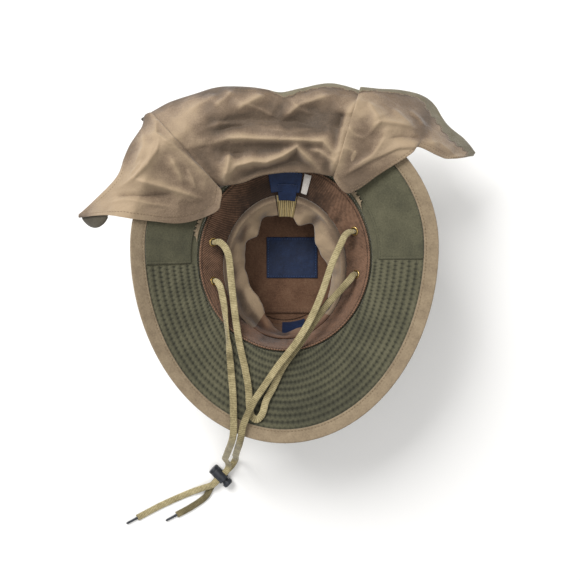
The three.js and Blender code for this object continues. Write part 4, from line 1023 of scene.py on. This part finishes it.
for depth in (0.07, 0.9):
    bandRows.append(bandPoint(bandAngles, depth, bandRipple(bandAngles, np.full_like(bandAngles, depth)) + 0.62))
sewRows("sweatband_stitches", bandRows, {"stitch": 2.0, "gap": 1.2, "thread": 0.75}, finishes["brownThread"],
        "brown_twill")
print("sweatband sewn")


# Tip pocket: a brown panel on the tip, its straight hem sewn twice
tip = {"wall": 1.2, "front": 57.5, "inset": 1.5, "rows": 90, "columns": 90, "hem": 5.0}


def tipSurface():
    spread = crown["spread"][1]
    halfWidth = mix(crown["tipHalfWidth"], hat["openingHalfWidth"], spread) - crown["wall"] - tip["inset"]
    halfLength = mix(crown["tipHalfLength"], hat["openingHalfLength"], spread) - crown["wall"] - tip["inset"]
    y = mix(-tip["front"], halfLength * 0.995, np.linspace(0, 1, tip["rows"]))
    half = halfWidth * np.sqrt(1 - (y / halfLength) ** 2)
    x = half[:, None] * np.linspace(-1, 1, tip["columns"])[None]
    middle = crown["wall"] + hat["seamGap"] + tip["wall"] / 2
    flat = np.stack([x, np.broadcast_to(y[:, None], x.shape), np.full_like(x, middle)], -1)
    fromHem = y[:, None] + tip["front"]
    rim = ease(np.minimum(half[:, None] - np.abs(x), 12) / 12)
    puff = (0.5 + 0.5 * ripple(flat, 26.0, 3, 3.0)) * 0.9 * ease((fromHem - tip["hem"]) / 10) * rim
    hem = 0.7 * ease((tip["hem"] - fromHem) / 0.6) - 0.35 * np.exp(-((fromHem - 1.2) / 0.5) ** 2)
    flat[..., 2] += puff + hem
    return flat


tipPoints = tipSurface()
tipPiece = sheetMesh("tip_pocket_cloth", tipPoints, clothUv(tipPoints), cloths["brownLining"])
outwardFaces(tipPiece)
thicken(tipPiece, tip["wall"])
place(tipPiece, "brown_lining", "tip_pocket")
hemLines = []
for back in (1.2, 4.4):
    x = np.linspace(-30, 30, 60)
    z = np.full_like(x, crown["wall"] + hat["seamGap"] + tip["wall"] + 0.75)
    hemLines.append(np.stack([x, np.full_like(x, back - tip["front"]), z], -1))
sewRows("tip_pocket_stitches", hemLines, {"stitch": 2.6, "gap": 0.8, "thread": 0.5}, finishes["brownThread"],
        "brown_lining")


# Woven labels, left bare
def labelSheet(name, node, points, material, slot, wall=0.6):
    piece = sheetMesh(name, points, clothUv(points), material)
    outwardFaces(piece)
    thicken(piece, wall)
    place(piece, slot, node)
    return piece


mainLabel = {"width": 56.0, "length": 45.0, "right": 7.5, "back": 3.5, "wall": 0.6}
u, v = np.meshgrid(np.linspace(-0.5, 0.5, 57), np.linspace(-0.5, 0.5, 46), indexing="ij")
base = crown["wall"] + hat["seamGap"] + tip["wall"] + hat["seamGap"] + mainLabel["wall"] / 2
labelPoints = np.stack([mainLabel["right"] + u * mainLabel["width"], mainLabel["back"] + v * mainLabel["length"],
                        np.full_like(u, base)], -1)
edgeAway = np.minimum((0.5 - np.abs(u)) * mainLabel["width"], (0.5 - np.abs(v)) * mainLabel["length"])
sewnDown = 0.3 * np.exp(-((edgeAway - 1.4) / 0.6) ** 2)
labelPoints[..., 2] += 0.9 + 0.5 * ripple(labelPoints, 22.0, 2, 6.0) * ease(edgeAway / 6) - sewnDown
labelSheet("main_label_woven", "main_label", labelPoints, cloths["navyDamask"], "navy_woven")
ring = labelPoints[2:-2, 2:-2] + [0, 0, 0.32]
border = np.vstack([ring[:, 0], ring[-1, 1:], ring[-2::-1, -1], ring[0, -2::-1]])
labelBorders = [border]

careLabel = {
    "width": 24.5, "right": 9.0, "footHeight": 6.0, "topHeight": 27.0, "footGap": 3.4, "topGap": 0.8, "wall": 0.6}


def crownInside(height, right):
    rim = hat["crownHeight"] - hat["brimWall"] / 2 - hat["seamGap"]
    spread = np.interp(height / rim, crown["rise"], crown["spread"])
    halfWidth = mix(crown["tipHalfWidth"], hat["openingHalfWidth"], spread) - crown["wall"]
    halfLength = mix(crown["tipHalfLength"], hat["openingHalfLength"], spread) - crown["wall"]
    return -halfLength * np.sqrt(1 - (right / halfWidth) ** 2)


u, v = np.meshgrid(np.linspace(-0.5, 0.5, 32), np.linspace(0, 1, 30), indexing="ij")
x = careLabel["right"] + u * careLabel["width"]
z = mix(careLabel["footHeight"], careLabel["topHeight"], v)
wallGap = careLabel["wall"] + mix(careLabel["footGap"], careLabel["topGap"], v) + 0.7 * np.sin(np.pi * v)
carePoints = np.stack([x, crownInside(z, x) + wallGap, z], -1)
labelSheet("care_label_woven", "care_label", carePoints, cloths["navyDamask"], "navy_woven")

bandPatches = {
    "rear_label": {
        "from": 77.0, "to": 102.0, "top": 0.16, "bottom": 0.72, "lift": 0.9,
        "cloth": "navyDamask", "slot": "navy_woven",
    },
    "folded_label": {
        "from": 79.5, "to": 96.0, "top": 0.5, "bottom": 0.98, "lift": 2.2,
        "cloth": "navyDamask", "slot": "navy_woven",
    },
    "white_tag": {
        "from": 70.5, "to": 75.5, "top": 0.14, "bottom": 0.7, "lift": 0.9,
        "cloth": "whiteSatinTape", "slot": "white_tape",
    },
}
for name, patch in bandPatches.items():
    u, v = np.meshgrid(np.linspace(0, 1, 30), np.linspace(0, 1, 24), indexing="ij")
    angle = np.radians(mix(patch["from"], patch["to"], u))
    depth = mix(patch["top"], patch["bottom"], v)
    curl = 1.2 * ease((v - 0.6) / 0.4) * (name != "folded_label") + 0.5 * np.sin(np.pi * u)
    points = bandPoint(angle, depth, sweatband["wall"] / 2 + patch["lift"] + 0.3 + curl)
    labelSheet(name + "_woven", name, points, cloths[patch["cloth"]], patch["slot"])
    if name == "rear_label":
        labelBorders.append(points[2:-2, 1] + [0, 0, 0.35])
sewRows("label_stitches", labelBorders, {"stitch": 1.9, "gap": 0.9, "thread": 0.6}, finishes["navyThread"],
        "navy_woven")
print("labels sewn")


# Fit band: a loose tape round the foot of the sweatband, with ribbed elastic at the rear
fit = {"wall": 1.0, "sewn": 0.25, "top": 0.84, "bottom": 1.02, "curl": 1.2, "bendGap": 0.2, "columns": 360, "rows": 26,
    "linedFrom": 238.0, "linedTo": 318.0, "ribs": 12, "ribHeight": 0.45}
fitRows = {
    "angle": [99, 118, 135, 152, 172, 195, 220, 245, 270, 300, 325, 350, 370, 392, 412, 428, 438],
    "foot": [14, 7, 19, 10, 15, 19, 21, 12, 3, 4, 6, 7, 12, 20, 9, 17, 14],
    "drop": [16, 22, 20, 24, 22, 20, 18, 20, 22, 22, 22, 22, 21, 18, 22, 18, 16],
}
elasticAngles = (79.2, 97.8)


def fitPoint(angle, foot, drop, share):
    depth = mix(fit["top"], fit["bottom"], np.minimum(share / fit["sewn"], 1))
    inset = (sweatband["wall"] + fit["wall"]) / 2 + hat["seamGap"] + fit["bendGap"]
    point = bandPoint(angle, depth, inset)
    hang = np.maximum(share - fit["sewn"], 0) / (1 - fit["sewn"])
    point[..., 0] -= np.cos(angle) * foot * hang ** fit["curl"]
    point[..., 1] -= np.sin(angle) * foot * hang ** fit["curl"]
    point[..., 2] -= drop * hang
    return point


def fitSurface():
    at = np.linspace(0, len(fitRows["angle"]) - 1, fit["columns"])[:, None]
    share = np.linspace(0, 1, fit["rows"])[None]
    angle = np.radians(smoothColumn(fitRows["angle"], at))
    foot, drop = smoothColumn(fitRows["foot"], at), smoothColumn(fitRows["drop"], at)
    points = fitPoint(angle + 0 * share, foot, drop, share)
    soft = ease((share - 0.2) / 0.4)
    broad, fine = ripple(points * [1, 1, 0.25], 24.0, 2, 12.0), ripple(points * [1, 1, 0.4], 11.0, 1, 4.0)
    crumple = (broad * 4.2 + fine * 0.7) * soft
    points[..., 0] -= np.cos(angle) * crumple
    points[..., 1] -= np.sin(angle) * crumple
    return points


fitPoints = fitSurface()
fitPiece = sheetMesh("fit_band_cloth", fitPoints, clothUv(fitPoints),
                     [cloths["tanBrushedNylon"], cloths["brownLining"]])
outwardFaces(fitPiece)
fitInset = np.hypot(fitPoints[..., 0], fitPoints[..., 1])
# Painted shade and highlight across the fit band's folds, a little paler overall
shadeCloth(fitPiece, blurred(fitInset, 12) - fitInset + 0.5, 1.5)
fitAngles = smoothColumn(fitRows["angle"], np.linspace(0, len(fitRows["angle"]) - 1, fit["columns"]))
lined = (fitAngles > fit["linedFrom"]) & (fitAngles < fit["linedTo"])
lined = np.repeat(lined[:-1, None], fit["rows"] - 1, axis=1)
fitPiece.data.polygons.foreach_set("material_index", lined.astype(np.int32).reshape(-1))
thicken(fitPiece, fit["wall"])
place(fitPiece, "tan_nylon", "fit_band")
u, v = np.meshgrid(np.linspace(0, 1, 150), np.linspace(0, 1, 30), indexing="ij")
angle = np.radians(mix(elasticAngles[0], elasticAngles[1], u))
elasticPoints = fitPoint(angle, 14.0 + 0 * u, 16.0, v)
ribs = np.sin(u * 2 * np.pi * fit["ribs"])
elasticPoints[..., 1] -= fit["ribHeight"] * ribs * ease(v / 0.1)
elasticPiece = sheetMesh("fit_elastic_ribbed", elasticPoints, clothUv(elasticPoints), cloths["ribbedElastic"])
outwardFaces(elasticPiece)
# Painted shade in the rib hollows and painted highlight on the ribs, darker towards the sewn top
shadeCloth(elasticPiece, ribs - 0.6 * ease((0.3 - v) / 0.3), 2.2)
thicken(elasticPiece, fit["wall"])
place(elasticPiece, "ribbed_elastic", "fit_elastic")
print("fit band made")


# Neck cape: one cloth with two wings, thrown back over the rear brim
cape = {"wall": 1.1, "roll": 12.0, "droop": 0.9, "carry": 11.0, "pocketWall": 1.1, "rollStart": 0.1, "columns": 420, "rows": 110,
    "crumple": 1.1, "wrinkle": 0.55, "hem": 8.0, "strip": 6.0}
capeRows = {
    "frontAcross": [-1.394, -1.182, -0.997, -0.863, -0.718, -0.589, -0.456, -0.428, -0.427, -0.52, -0.427, -0.35, -0.276,
                    -0.205, -0.141, -0.06, 0.013, 0.105, 0.204, 0.3, 0.42, 0.46, 0.331, 0.407, 0.493, 0.631, 0.821, 0.874,
                    1.023, 1.104, 1.291],
    "frontBack": [0.262, 0.264, 0.236, 0.225, 0.217, 0.243, 0.299, 0.355, 0.438, 0.47, 0.47, 0.476, 0.491, 0.52, 0.539,
                  0.551, 0.558, 0.557, 0.552, 0.535, 0.53, 0.54, 0.521, 0.42, 0.441, 0.533, 0.645, 0.697, 0.647, 0.636,
                  0.678],
    "rearAcross": [-1.394, -1.319, -1.162, -1.087, -1.054, -1.015, -0.942, -0.927, -0.885, -0.96, -0.874, -0.763, -0.591,
                   -0.451, -0.29, -0.14, -0.024, 0.117, 0.284, 0.397, 0.57, 0.63, 0.503, 0.623, 0.784, 0.929, 1.026,
                   1.105, 1.229, 1.3, 1.306],
    "rearBack": [0.282, 0.33, 0.45, 0.532, 0.634, 0.718, 0.828, 0.91, 0.925, 0.9, 0.955, 1.011, 1.059, 1.098, 1.098, 1.079,
                 1.055, 1.085, 1.124, 1.111, 1.06, 1.06, 1.088, 1.088, 1.098, 1.082, 1.023, 0.884, 0.793, 0.714, 0.7],
    "lift": [0, 0.05, 0.1, 0.25, 0.4, 0.6, 0.8, 1, 1.05, 0.5, 0, 0, 0, 0, 0, 0, 0, 0, 0, 0, 0, 0.5, 1.05, 0.9, 0.7, 0.5,
             0.3, 0.2, 0.1, 0.05, 0],
    "root": [0, 0, 0, 0, 0, 0, 0, 0, 0, 0, 1, 1, 1, 1, 1, 1, 1, 1, 1, 1, 1, 0, 0, 0, 0, 0, 0, 0, 0, 0, 0],
}
# Folds along lines in millimetres: height, spread on the line's left and right, negative for a crease
capeFolds = [
    {"high": 11.0, "left": 15.0, "right": 3.6, "line": [
        (-71, 108), (-53, 113), (-35, 113), (-7, 112), (21, 111), (37, 110), (46, 100), (48, 87)]},
    {"high": 9.0, "left": 7.0, "right": 3.4, "line": [
        (-57, 78), (-46, 88), (-30, 92), (-18, 91), (-2, 97), (12, 105), (21, 96), (39, 80)]},
    {"high": 5.0, "left": 5.0, "right": 3.0, "line": [(21, 104), (34, 101), (47, 92), (46, 78)]},
    {"high": 6.0, "left": 5.0, "right": 4.0, "line": [(-53, 104), (-54, 91), (-60, 66)]},
    {"high": 5.0, "left": 5.0, "right": 8.0, "line": [(-48, 160), (-58, 150), (-68, 141)]},
    {"high": 5.0, "left": 5.0, "right": 8.0, "line": [(-18, 156), (-30, 149), (-47, 139)]},
    {"high": 6.0, "left": 8.0, "right": 5.0, "line": [(-5, 130), (15, 145), (48, 155)]},
    {"high": 3.5, "left": 7.0, "right": 5.0, "line": [(-95, 135), (-80, 146), (-62, 156)]},
    {"high": 3.0, "left": 6.0, "right": 4.0, "line": [(-20, 123), (6, 119), (34, 124)]},
    {"high": -4.5, "left": 3.5, "right": 3.5, "line": [(-66, 120), (-53, 124), (-35, 126)]},
    {"high": -4.5, "left": 7.0, "right": 5.0, "line": [(-71, 130), (-25, 131), (11, 130), (44, 119)]},
    {"high": -3.5, "left": 3.0, "right": 4.0, "line": [(-49, 75), (-25, 85), (11, 95), (24, 89)]},
    {"high": -5.0, "left": 5.0, "right": 5.0, "line": [(-64, 103), (-48, 100), (-38, 101)]},
    {"high": -6.0, "left": 4.0, "right": 4.0, "line": [(57, 138), (52, 122)]},
    {"high": 4.5, "left": 14.0, "right": 2.4, "line": [
        (-63, 66), (-69, 73), (-90, 92), (-105, 104), (-121, 115), (-122, 127), (-129, 137)]},
    {"high": 4.5, "left": 5.0, "right": 9.0, "line": [(-121, 108), (-127, 90), (-143, 72)]},
    {"high": 4.0, "left": 6.0, "right": 5.0, "line": [(-143, 71), (-115, 66), (-90, 59)]},
    {"high": -3.5, "left": 4.0, "right": 4.0, "line": [(-164, 57), (-135, 57), (-103, 61)]},
    {"high": 3.0, "left": 6.0, "right": 6.0, "line": [(-108, 96), (-103, 80), (-84, 68)]},
    {"high": 4.5, "left": 2.4, "right": 13.0, "line": [(47, 77), (49, 87), (54, 113), (57, 131), (67, 145), (77, 155)]},
    {"high": 2.4, "left": 2.0, "right": 2.6, "line": [(-141, 72), (-118, 66), (-92, 60), (-74, 55)]},
    {"high": 2.6, "left": 1.8, "right": 2.4, "line": [(-117, 112), (-119, 100), (-128, 86), (-141, 74), (-155, 66)]},
    {"high": 1.6, "left": 1.6, "right": 2.4, "line": [(-133, 100), (-136, 86), (-146, 76)]},
    {"high": 2.0, "left": 1.8, "right": 2.4, "line": [(-107, 92), (-101, 82), (-98, 68)]},
    {"high": 1.9, "left": 1.6, "right": 2.4, "line": [(-93, 84), (-88, 74), (-85, 64)]},
    {"high": 1.7, "left": 1.6, "right": 2.2, "line": [(-167, 51), (-150, 54), (-128, 50), (-108, 48)]},
    {"high": 2.4, "left": 2.4, "right": 3.4, "line": [(-136, 120), (-132, 104), (-141, 86)]},
    {"high": 2.2, "left": 2.0, "right": 2.6, "line": [(-78, 121), (-62, 127), (-36, 130), (-14, 129)]},
    {"high": 2.0, "left": 2.0, "right": 2.6, "line": [(-40, 146), (-22, 141), (-8, 134)]},
    {"high": 2.4, "left": 2.4, "right": 3.0, "line": [(5, 150), (14, 141), (30, 136)]},
    {"high": 3.6, "left": 5.0, "right": 2.4, "line": [(80, 147), (85, 137), (90, 127)]},
    {"high": 4.4, "left": 7.0, "right": 2.6, "line": [(80, 116), (90, 127), (114, 125), (123, 123)]},
    {"high": 3.6, "left": 7.0, "right": 2.2, "line": [(96, 118), (95, 112), (90, 104), (84, 96), (66, 86)]},
    {"high": -3.0, "left": 4.0, "right": 4.0, "line": [(97, 111), (112, 114), (130, 113)]},
    {"high": 2.4, "left": 2.0, "right": 3.4, "line": [(103, 142), (113, 133), (123, 124)]},
    {"high": 2.2, "left": 1.8, "right": 3.0, "line": [(120, 142), (131, 133), (136, 125)]},
    {"high": 1.8, "left": 1.8, "right": 2.6, "line": [(60, 124), (66, 116), (78, 112)]},
    {"high": 1.6, "left": 1.8, "right": 2.4, "line": [(56, 104), (64, 102), (72, 96)]},
    {"high": 3.0, "left": 7.0, "right": 5.0, "line": [(135, 108), (150, 110), (166, 99)]},
    {"high": 2.0, "left": 6.0, "right": 1.0, "crest": 1.4, "line": [
        (45, 73), (60, 80.5), (82, 92.5), (108, 103), (126, 103), (138, 98.6), (155, 93.5)]},
]


def foldHeight(x, y):
    height = np.zeros_like(x)
    for fold in capeFolds:
        line = np.array(fold["line"], float)
        lengths = np.linalg.norm(np.diff(line, axis=0), axis=1)
        total, before = lengths.sum(), 0.0
        nearest, side, along = np.full_like(x, 1e9), np.zeros_like(x), np.zeros_like(x)
        for start, end, length in zip(line, line[1:], lengths):
            run = (end - start) / length
            offX, offY = x - start[0], y - start[1]
            at = clamp(offX * run[0] + offY * run[1], 0, length)
            away = np.hypot(offX - run[0] * at, offY - run[1] * at)
            closer = away < nearest
            nearest = np.where(closer, away, nearest)
            side = np.where(closer, run[0] * offY - run[1] * offX, side)
            along = np.where(closer, before + at, along)
            before += length
        blend = ease(0.5 + side / 3.0)
        wide = mix(fold["right"], fold["left"], blend)
        fade = 0.25 + 0.75 * ease(along / (0.25 * total)) * ease((total - along) / (0.25 * total))
        height += fold["high"] * fade * np.exp(-(nearest / wide) ** fold.get("crest", 1.1))
    return height


def restHeight(x, y, clearance):
    angle = np.arctan2(y, x)
    radius = np.hypot(x, y)
    seam, edge = openingRadius(angle), edgeRadius(angle)
    share = clamp((radius - seam) / (edge - seam))
    past = np.maximum(radius - edge, 0)
    hang = cape["droop"] * past * past / (past + 2 * brim["bindingWidth"])
    over = brim["wall"] / 2 + clearance + cape["wall"] / 2
    # The cloth leaves the edge at the brim's slope
    last = 0.96
    climb = brimPoint(angle, 1.0, over)[..., 2] - brimPoint(angle, last, over)[..., 2]
    slope = climb / ((1 - last) * (edge - seam))
    carried = slope * cape["carry"] * (1 - np.exp(-past / cape["carry"]))
    return brimPoint(angle, share, over)[..., 2] + carried - hang


def capeSurface():
    at = np.linspace(0, len(capeRows["lift"]) - 1, cape["columns"])[:, None]
    share = np.linspace(0, 1, cape["rows"])[None] ** 1.15
    column = {key: smoothColumn(values, at) for key, values in capeRows.items()}
    root = clamp(column["root"])
    start = cape["rollStart"]
    out = mix(share, np.maximum(share - start, 0) / (1 - start), root)
    frontX, frontY = column["frontAcross"] * brimHalfWidth, column["frontBack"] * brimRear
    rearX, rearY = column["rearAcross"] * brimHalfWidth, column["rearBack"] * brimRear
    x, y = mix(frontX, rearX, out), mix(frontY, rearY, out)
    seam = brimPoint(np.arctan2(frontY, frontX), 0.04, 0.0)
    tuck = root * np.maximum(1 - share / start, 0)
    x, y = mix(x, seam[..., 0], tuck), mix(y, seam[..., 1], tuck)
    roll = root * cape["roll"] * np.sin(np.minimum(share / (3 * start), 1) * 0.5 * np.pi)
    settleShare = 1 - 0.6 * clamp((share - 0.3) / 0.7)
    clearance = mix(cape["pocketWall"] + 4 * hat["seamGap"], 2 * hat["seamGap"], tuck)
    fold = foldHeight(x, y) * np.minimum(share / (2 * start), 1)
    z = restHeight(x, y, clearance) + column["lift"] * cape["roll"] + roll * settleShare + fold
    points = np.stack([x, y, z], -1)
    flat = points * [1, 1, 0]
    crumple = 1 - np.abs(ripple(flat, 44.0, 3, 15.0)) * 2.2
    wrinkle = ripple(flat * [1, 1.6, 0], 15.0, 3, 33.0)
    loose = np.minimum(share / (2 * start), 1) * ease((1 - share) / 0.06 + 0.35)
    points[..., 2] += (crumple * cape["crumple"] + wrinkle * cape["wrinkle"]) * loose
    return points


capePoints = capeSurface()
capePiece = sheetMesh("neck_cape_cloth", capePoints, clothUv(capePoints),
                      [cloths["tanBrushedNylon"], cloths["paleOliveNylon"]])
outwardFaces(capePiece)
if capePiece.data.polygons[len(capePiece.data.polygons) // 2].normal.z < 0:
    capePiece.data.flip_normals()
capeX, capeY, capeHeight = capePoints[..., 0], capePoints[..., 1], capePoints[..., 2]
# Painted shade in the folds' hollows and painted highlight on their crests
capePaintedShading = (capeHeight - blurred(capeHeight, 9)) + 0.5 * (capeHeight - blurred(capeHeight, 22))


def fromEdge(points, rear):
    # Distance of each point of the cape from its front or rear edge, along the cloth
    steps = np.linalg.norm(np.diff(points, axis=1), axis=-1)
    total = np.concatenate([np.zeros((len(points), 1)), np.cumsum(steps, axis=1)], axis=1)
    return total[:, -1:] - total if rear else total


def capeLine(distance, first, last, rear=False, lift=0.6):
    # The line on the cape at a distance from an edge, between two of its columns
    away = fromEdge(capePoints, rear)
    line = []
    for i in range(first, last):
        order = slice(None, None, -1) if rear else slice(None)
        line.append([np.interp(distance, away[i][order], capePoints[i, order, axis]) for axis in range(3)])
    return np.array(line) + [0, 0, lift]


hemDepth = np.minimum(fromEdge(capePoints, False), fromEdge(capePoints, True))
# Painted shade along the hem's crease
capePaintedShading = capePaintedShading - 0.9 * np.exp(-((hemDepth - cape["hem"]) / 0.8) ** 2)
# The middle lies in shade between the wings, its rear most; the right wing's rear is dim, the left wing lit
hollow = ease((capeX + 100) / 30) * ease((62 - capeX) / 18) * ease((capeY - 70) / 20)
behind = hollow * ease((capeY - 104) / 16)
rightDim = ease((capeX - 66) / 20) * ease((capeY - 104) / 14)
leftLit = ease((-92 - capeX) / 16) * ease((104 - capeY) / 20)
capePaintedShading = np.where(capePaintedShading < 0, capePaintedShading * (1 + 0.9 * hollow), capePaintedShading)
capePaintedShading = capePaintedShading - 1.3 * hollow - 2.6 * behind - 1.7 * rightDim + 1.0 * leftLit
# An olive hem strip along the rear edge, wider at the right tip, in the paler copy of the nylon with a flat, slightly
# pale painted tone, and a painted shadow line along the puckered seam beside it
stripWidth = cape["strip"] * ease((capeX[:, -1] + 22) / 30) * (1 + 1.5 * ease((capeX[:, -1] - 110) / 50))
pucker = np.arange(len(stripWidth))
stripWidth = stripWidth * (1 + 0.12 * np.sin(pucker * 0.9) + 0.2 * np.sin(pucker * 0.23))
rearAway = fromEdge(capePoints, True)
inStrip = rearAway < stripWidth[:, None]
inStrip[capeY[:, -1] < 90] = False
besideStrip = np.exp(-((rearAway - stripWidth[:, None] - 0.6) / 0.9) ** 2) * inStrip.any(1)[:, None]
capePaintedShading = np.where(inStrip, 0.8, capePaintedShading - 9.0 * besideStrip)
shadeCloth(capePiece, capePaintedShading, 5.5)
capePiece.data.polygons.foreach_set("material_index", inStrip[:-1, :-1].astype(np.int32).reshape(-1))
thicken(capePiece, cape["wall"], 1)
place(capePiece, "tan_nylon", "neck_cape")
# The left tip turns under, and its olive side shows as a small lip, painted dark as shade, darkest where it leaves the
# cape's edge
tipTurn = {"from": -200.0, "to": -168.0, "deep": 10.5, "under": 4.0, "drop": 7.0, "columns": 40, "rows": 16}
across, down = np.meshgrid(
    np.linspace(0, 1, tipTurn["columns"]), np.linspace(0, 1, tipTurn["rows"]), indexing="ij")
bulge = np.sin(np.pi * (0.06 + 0.88 * across)) ** 0.55
turnX = mix(tipTurn["from"], tipTurn["to"], across) - 3 * down * (across - 0.2)
tipEdge = capePoints[:40, 0]
turnBase = np.interp(turnX, tipEdge[:, 0], tipEdge[:, 2]) - 2 * cape["wall"]
turnY = np.interp(turnX, tipEdge[:, 0], tipEdge[:, 1]) + tipTurn["under"]
turnY = turnY - (tipTurn["deep"] + tipTurn["under"]) * bulge * np.sin(down * np.pi / 2)
turnZ = turnBase - tipTurn["drop"] * bulge * (1 - np.cos(down * np.pi / 2))
turnPoints = np.stack([turnX, turnY, turnZ], -1)
turnPiece = sheetMesh("neck_cape_turned_tip", turnPoints, clothUv(turnPoints), cloths["paleOliveNylon"])
shadeCloth(turnPiece, -3.6 - 1.9 * (1 - down), 5.5)
thicken(turnPiece, cape["wall"])
place(turnPiece, "tan_nylon", "neck_cape")
wingEnd = int(0.27 * cape["columns"])
rightStart = int(0.735 * cape["columns"])
hemRows = [
    capeLine(cape["hem"], 10, wingEnd), capeLine(cape["hem"] * 0.7, rightStart, cape["columns"] - 10),
    capeLine(1.6, rightStart, cape["columns"] - 10), capeLine(cape["hem"] * 0.6, 10, wingEnd, rear=True),
    capeLine(cape["strip"], 190, cape["columns"] - 60, rear=True)]
sewRows("cape_stitches", hemRows, {"stitch": 2.2, "gap": 1.0, "thread": 0.7}, finishes["tanThread"], "tan_nylon")
print("cape draped")


# Cord lock: a moulded barrel and its sprung button, with a slot for the two cords
lock = {
    "x": -70.5, "y": -237.0, "barrel": 12.0, "length": 18.5, "bore": 8.6, "endWall": 2.5, "mouthWall": 1.5,
    "slotWidth": 7.81, "slotHeight": 5.82, "button": 7.8, "head": 10.8, "headLength": 4.5, "travel": 2.6, "innerWall": 1.7,
}
lockAxis = np.array([math.cos(math.radians(-45)), math.sin(math.radians(-45)), 0.0])
lockCentre = np.array([lock["x"], lock["y"], lock["barrel"] / 2])


def cutSlot(piece, low, high):
    # Cuts the cords' slot through a turned piece, between two places along the lock's axis
    middle = lockCentre + lockAxis * (low + high) / 2
    side = np.array([-lockAxis[1], lockAxis[0], 0.0])
    half = [(high - low) / 2, lock["barrel"], lock["slotHeight"] / 2]
    corners = [middle + lockAxis * half[0] * a + side * half[1] * b + np.array([0, 0, 1]) * half[2] * c
               for a in (-1, 1) for b in (-1, 1) for c in (-1, 1)]
    mesh = bpy.data.meshes.new("slotCutter")
    mesh.from_pydata([tuple(c * mm) for c in corners], [],
                     [(0, 1, 3, 2), (4, 6, 7, 5), (0, 4, 5, 1), (2, 3, 7, 6), (0, 2, 6, 4), (1, 5, 7, 3)])
    cutter = bpy.data.objects.new("slotCutter", mesh)
    bpy.context.scene.collection.objects.link(cutter)
    cut = piece.modifiers.new("slot", "BOOLEAN")
    cut.object = cutter
    cut.operation = "DIFFERENCE"
    cut.solver = "EXACT"
    settle(piece)
    bpy.data.objects.remove(cutter)
    return piece


mouth = lock["slotWidth"] / 2 + lock["mouthWall"]
closed = mouth - lock["length"]
radius, bore = lock["barrel"] / 2, lock["bore"] / 2
barrelProfile = [
    (0.01, closed), (radius - 0.9, closed), (radius, closed + 0.9), (radius, closed + 3.2),
    (radius - 0.35, closed + 3.5), (radius - 0.35, closed + 4.3), (radius, closed + 4.6), (radius, mouth),
    (bore, mouth), (bore, closed + lock["endWall"]), (0.01, closed + lock["endWall"])]
barrelPiece = turnedMesh("cord_lock_barrel_moulded", roundedProfile(barrelProfile, 0.4, 3), 40,
                         lockCentre, lockAxis, finishes["blackAcetal"])
cutSlot(barrelPiece, -lock["slotWidth"] / 2, lock["slotWidth"] / 2)
place(barrelPiece, "black_plastic", "cord_lock_barrel")
inner = -lock["slotWidth"] / 2 - lock["innerWall"]
headStart = mouth + lock["travel"] + hat["seamGap"]
headEnd = headStart + lock["headLength"]
stem, head = lock["button"] / 2, lock["head"] / 2
buttonProfile = [
    (0.01, inner), (stem, inner), (stem, headStart), (head, headStart), (head, headEnd - 1.2),
    (head - 1.0, headEnd), (head - 2.2, headEnd), (head - 2.6, headEnd - 0.4), (0.01, headEnd - 0.4)]
buttonPiece = turnedMesh("cord_lock_button_moulded", roundedProfile(buttonProfile, 0.4, 3), 40,
                         lockCentre, lockAxis, finishes["blackAcetal"])
cutSlot(buttonPiece, -lock["slotWidth"] / 2, lock["slotWidth"] / 2 + lock["travel"])
place(buttonPiece, "black_plastic", "cord_lock_button", on="lock_button")
print("cord lock made")
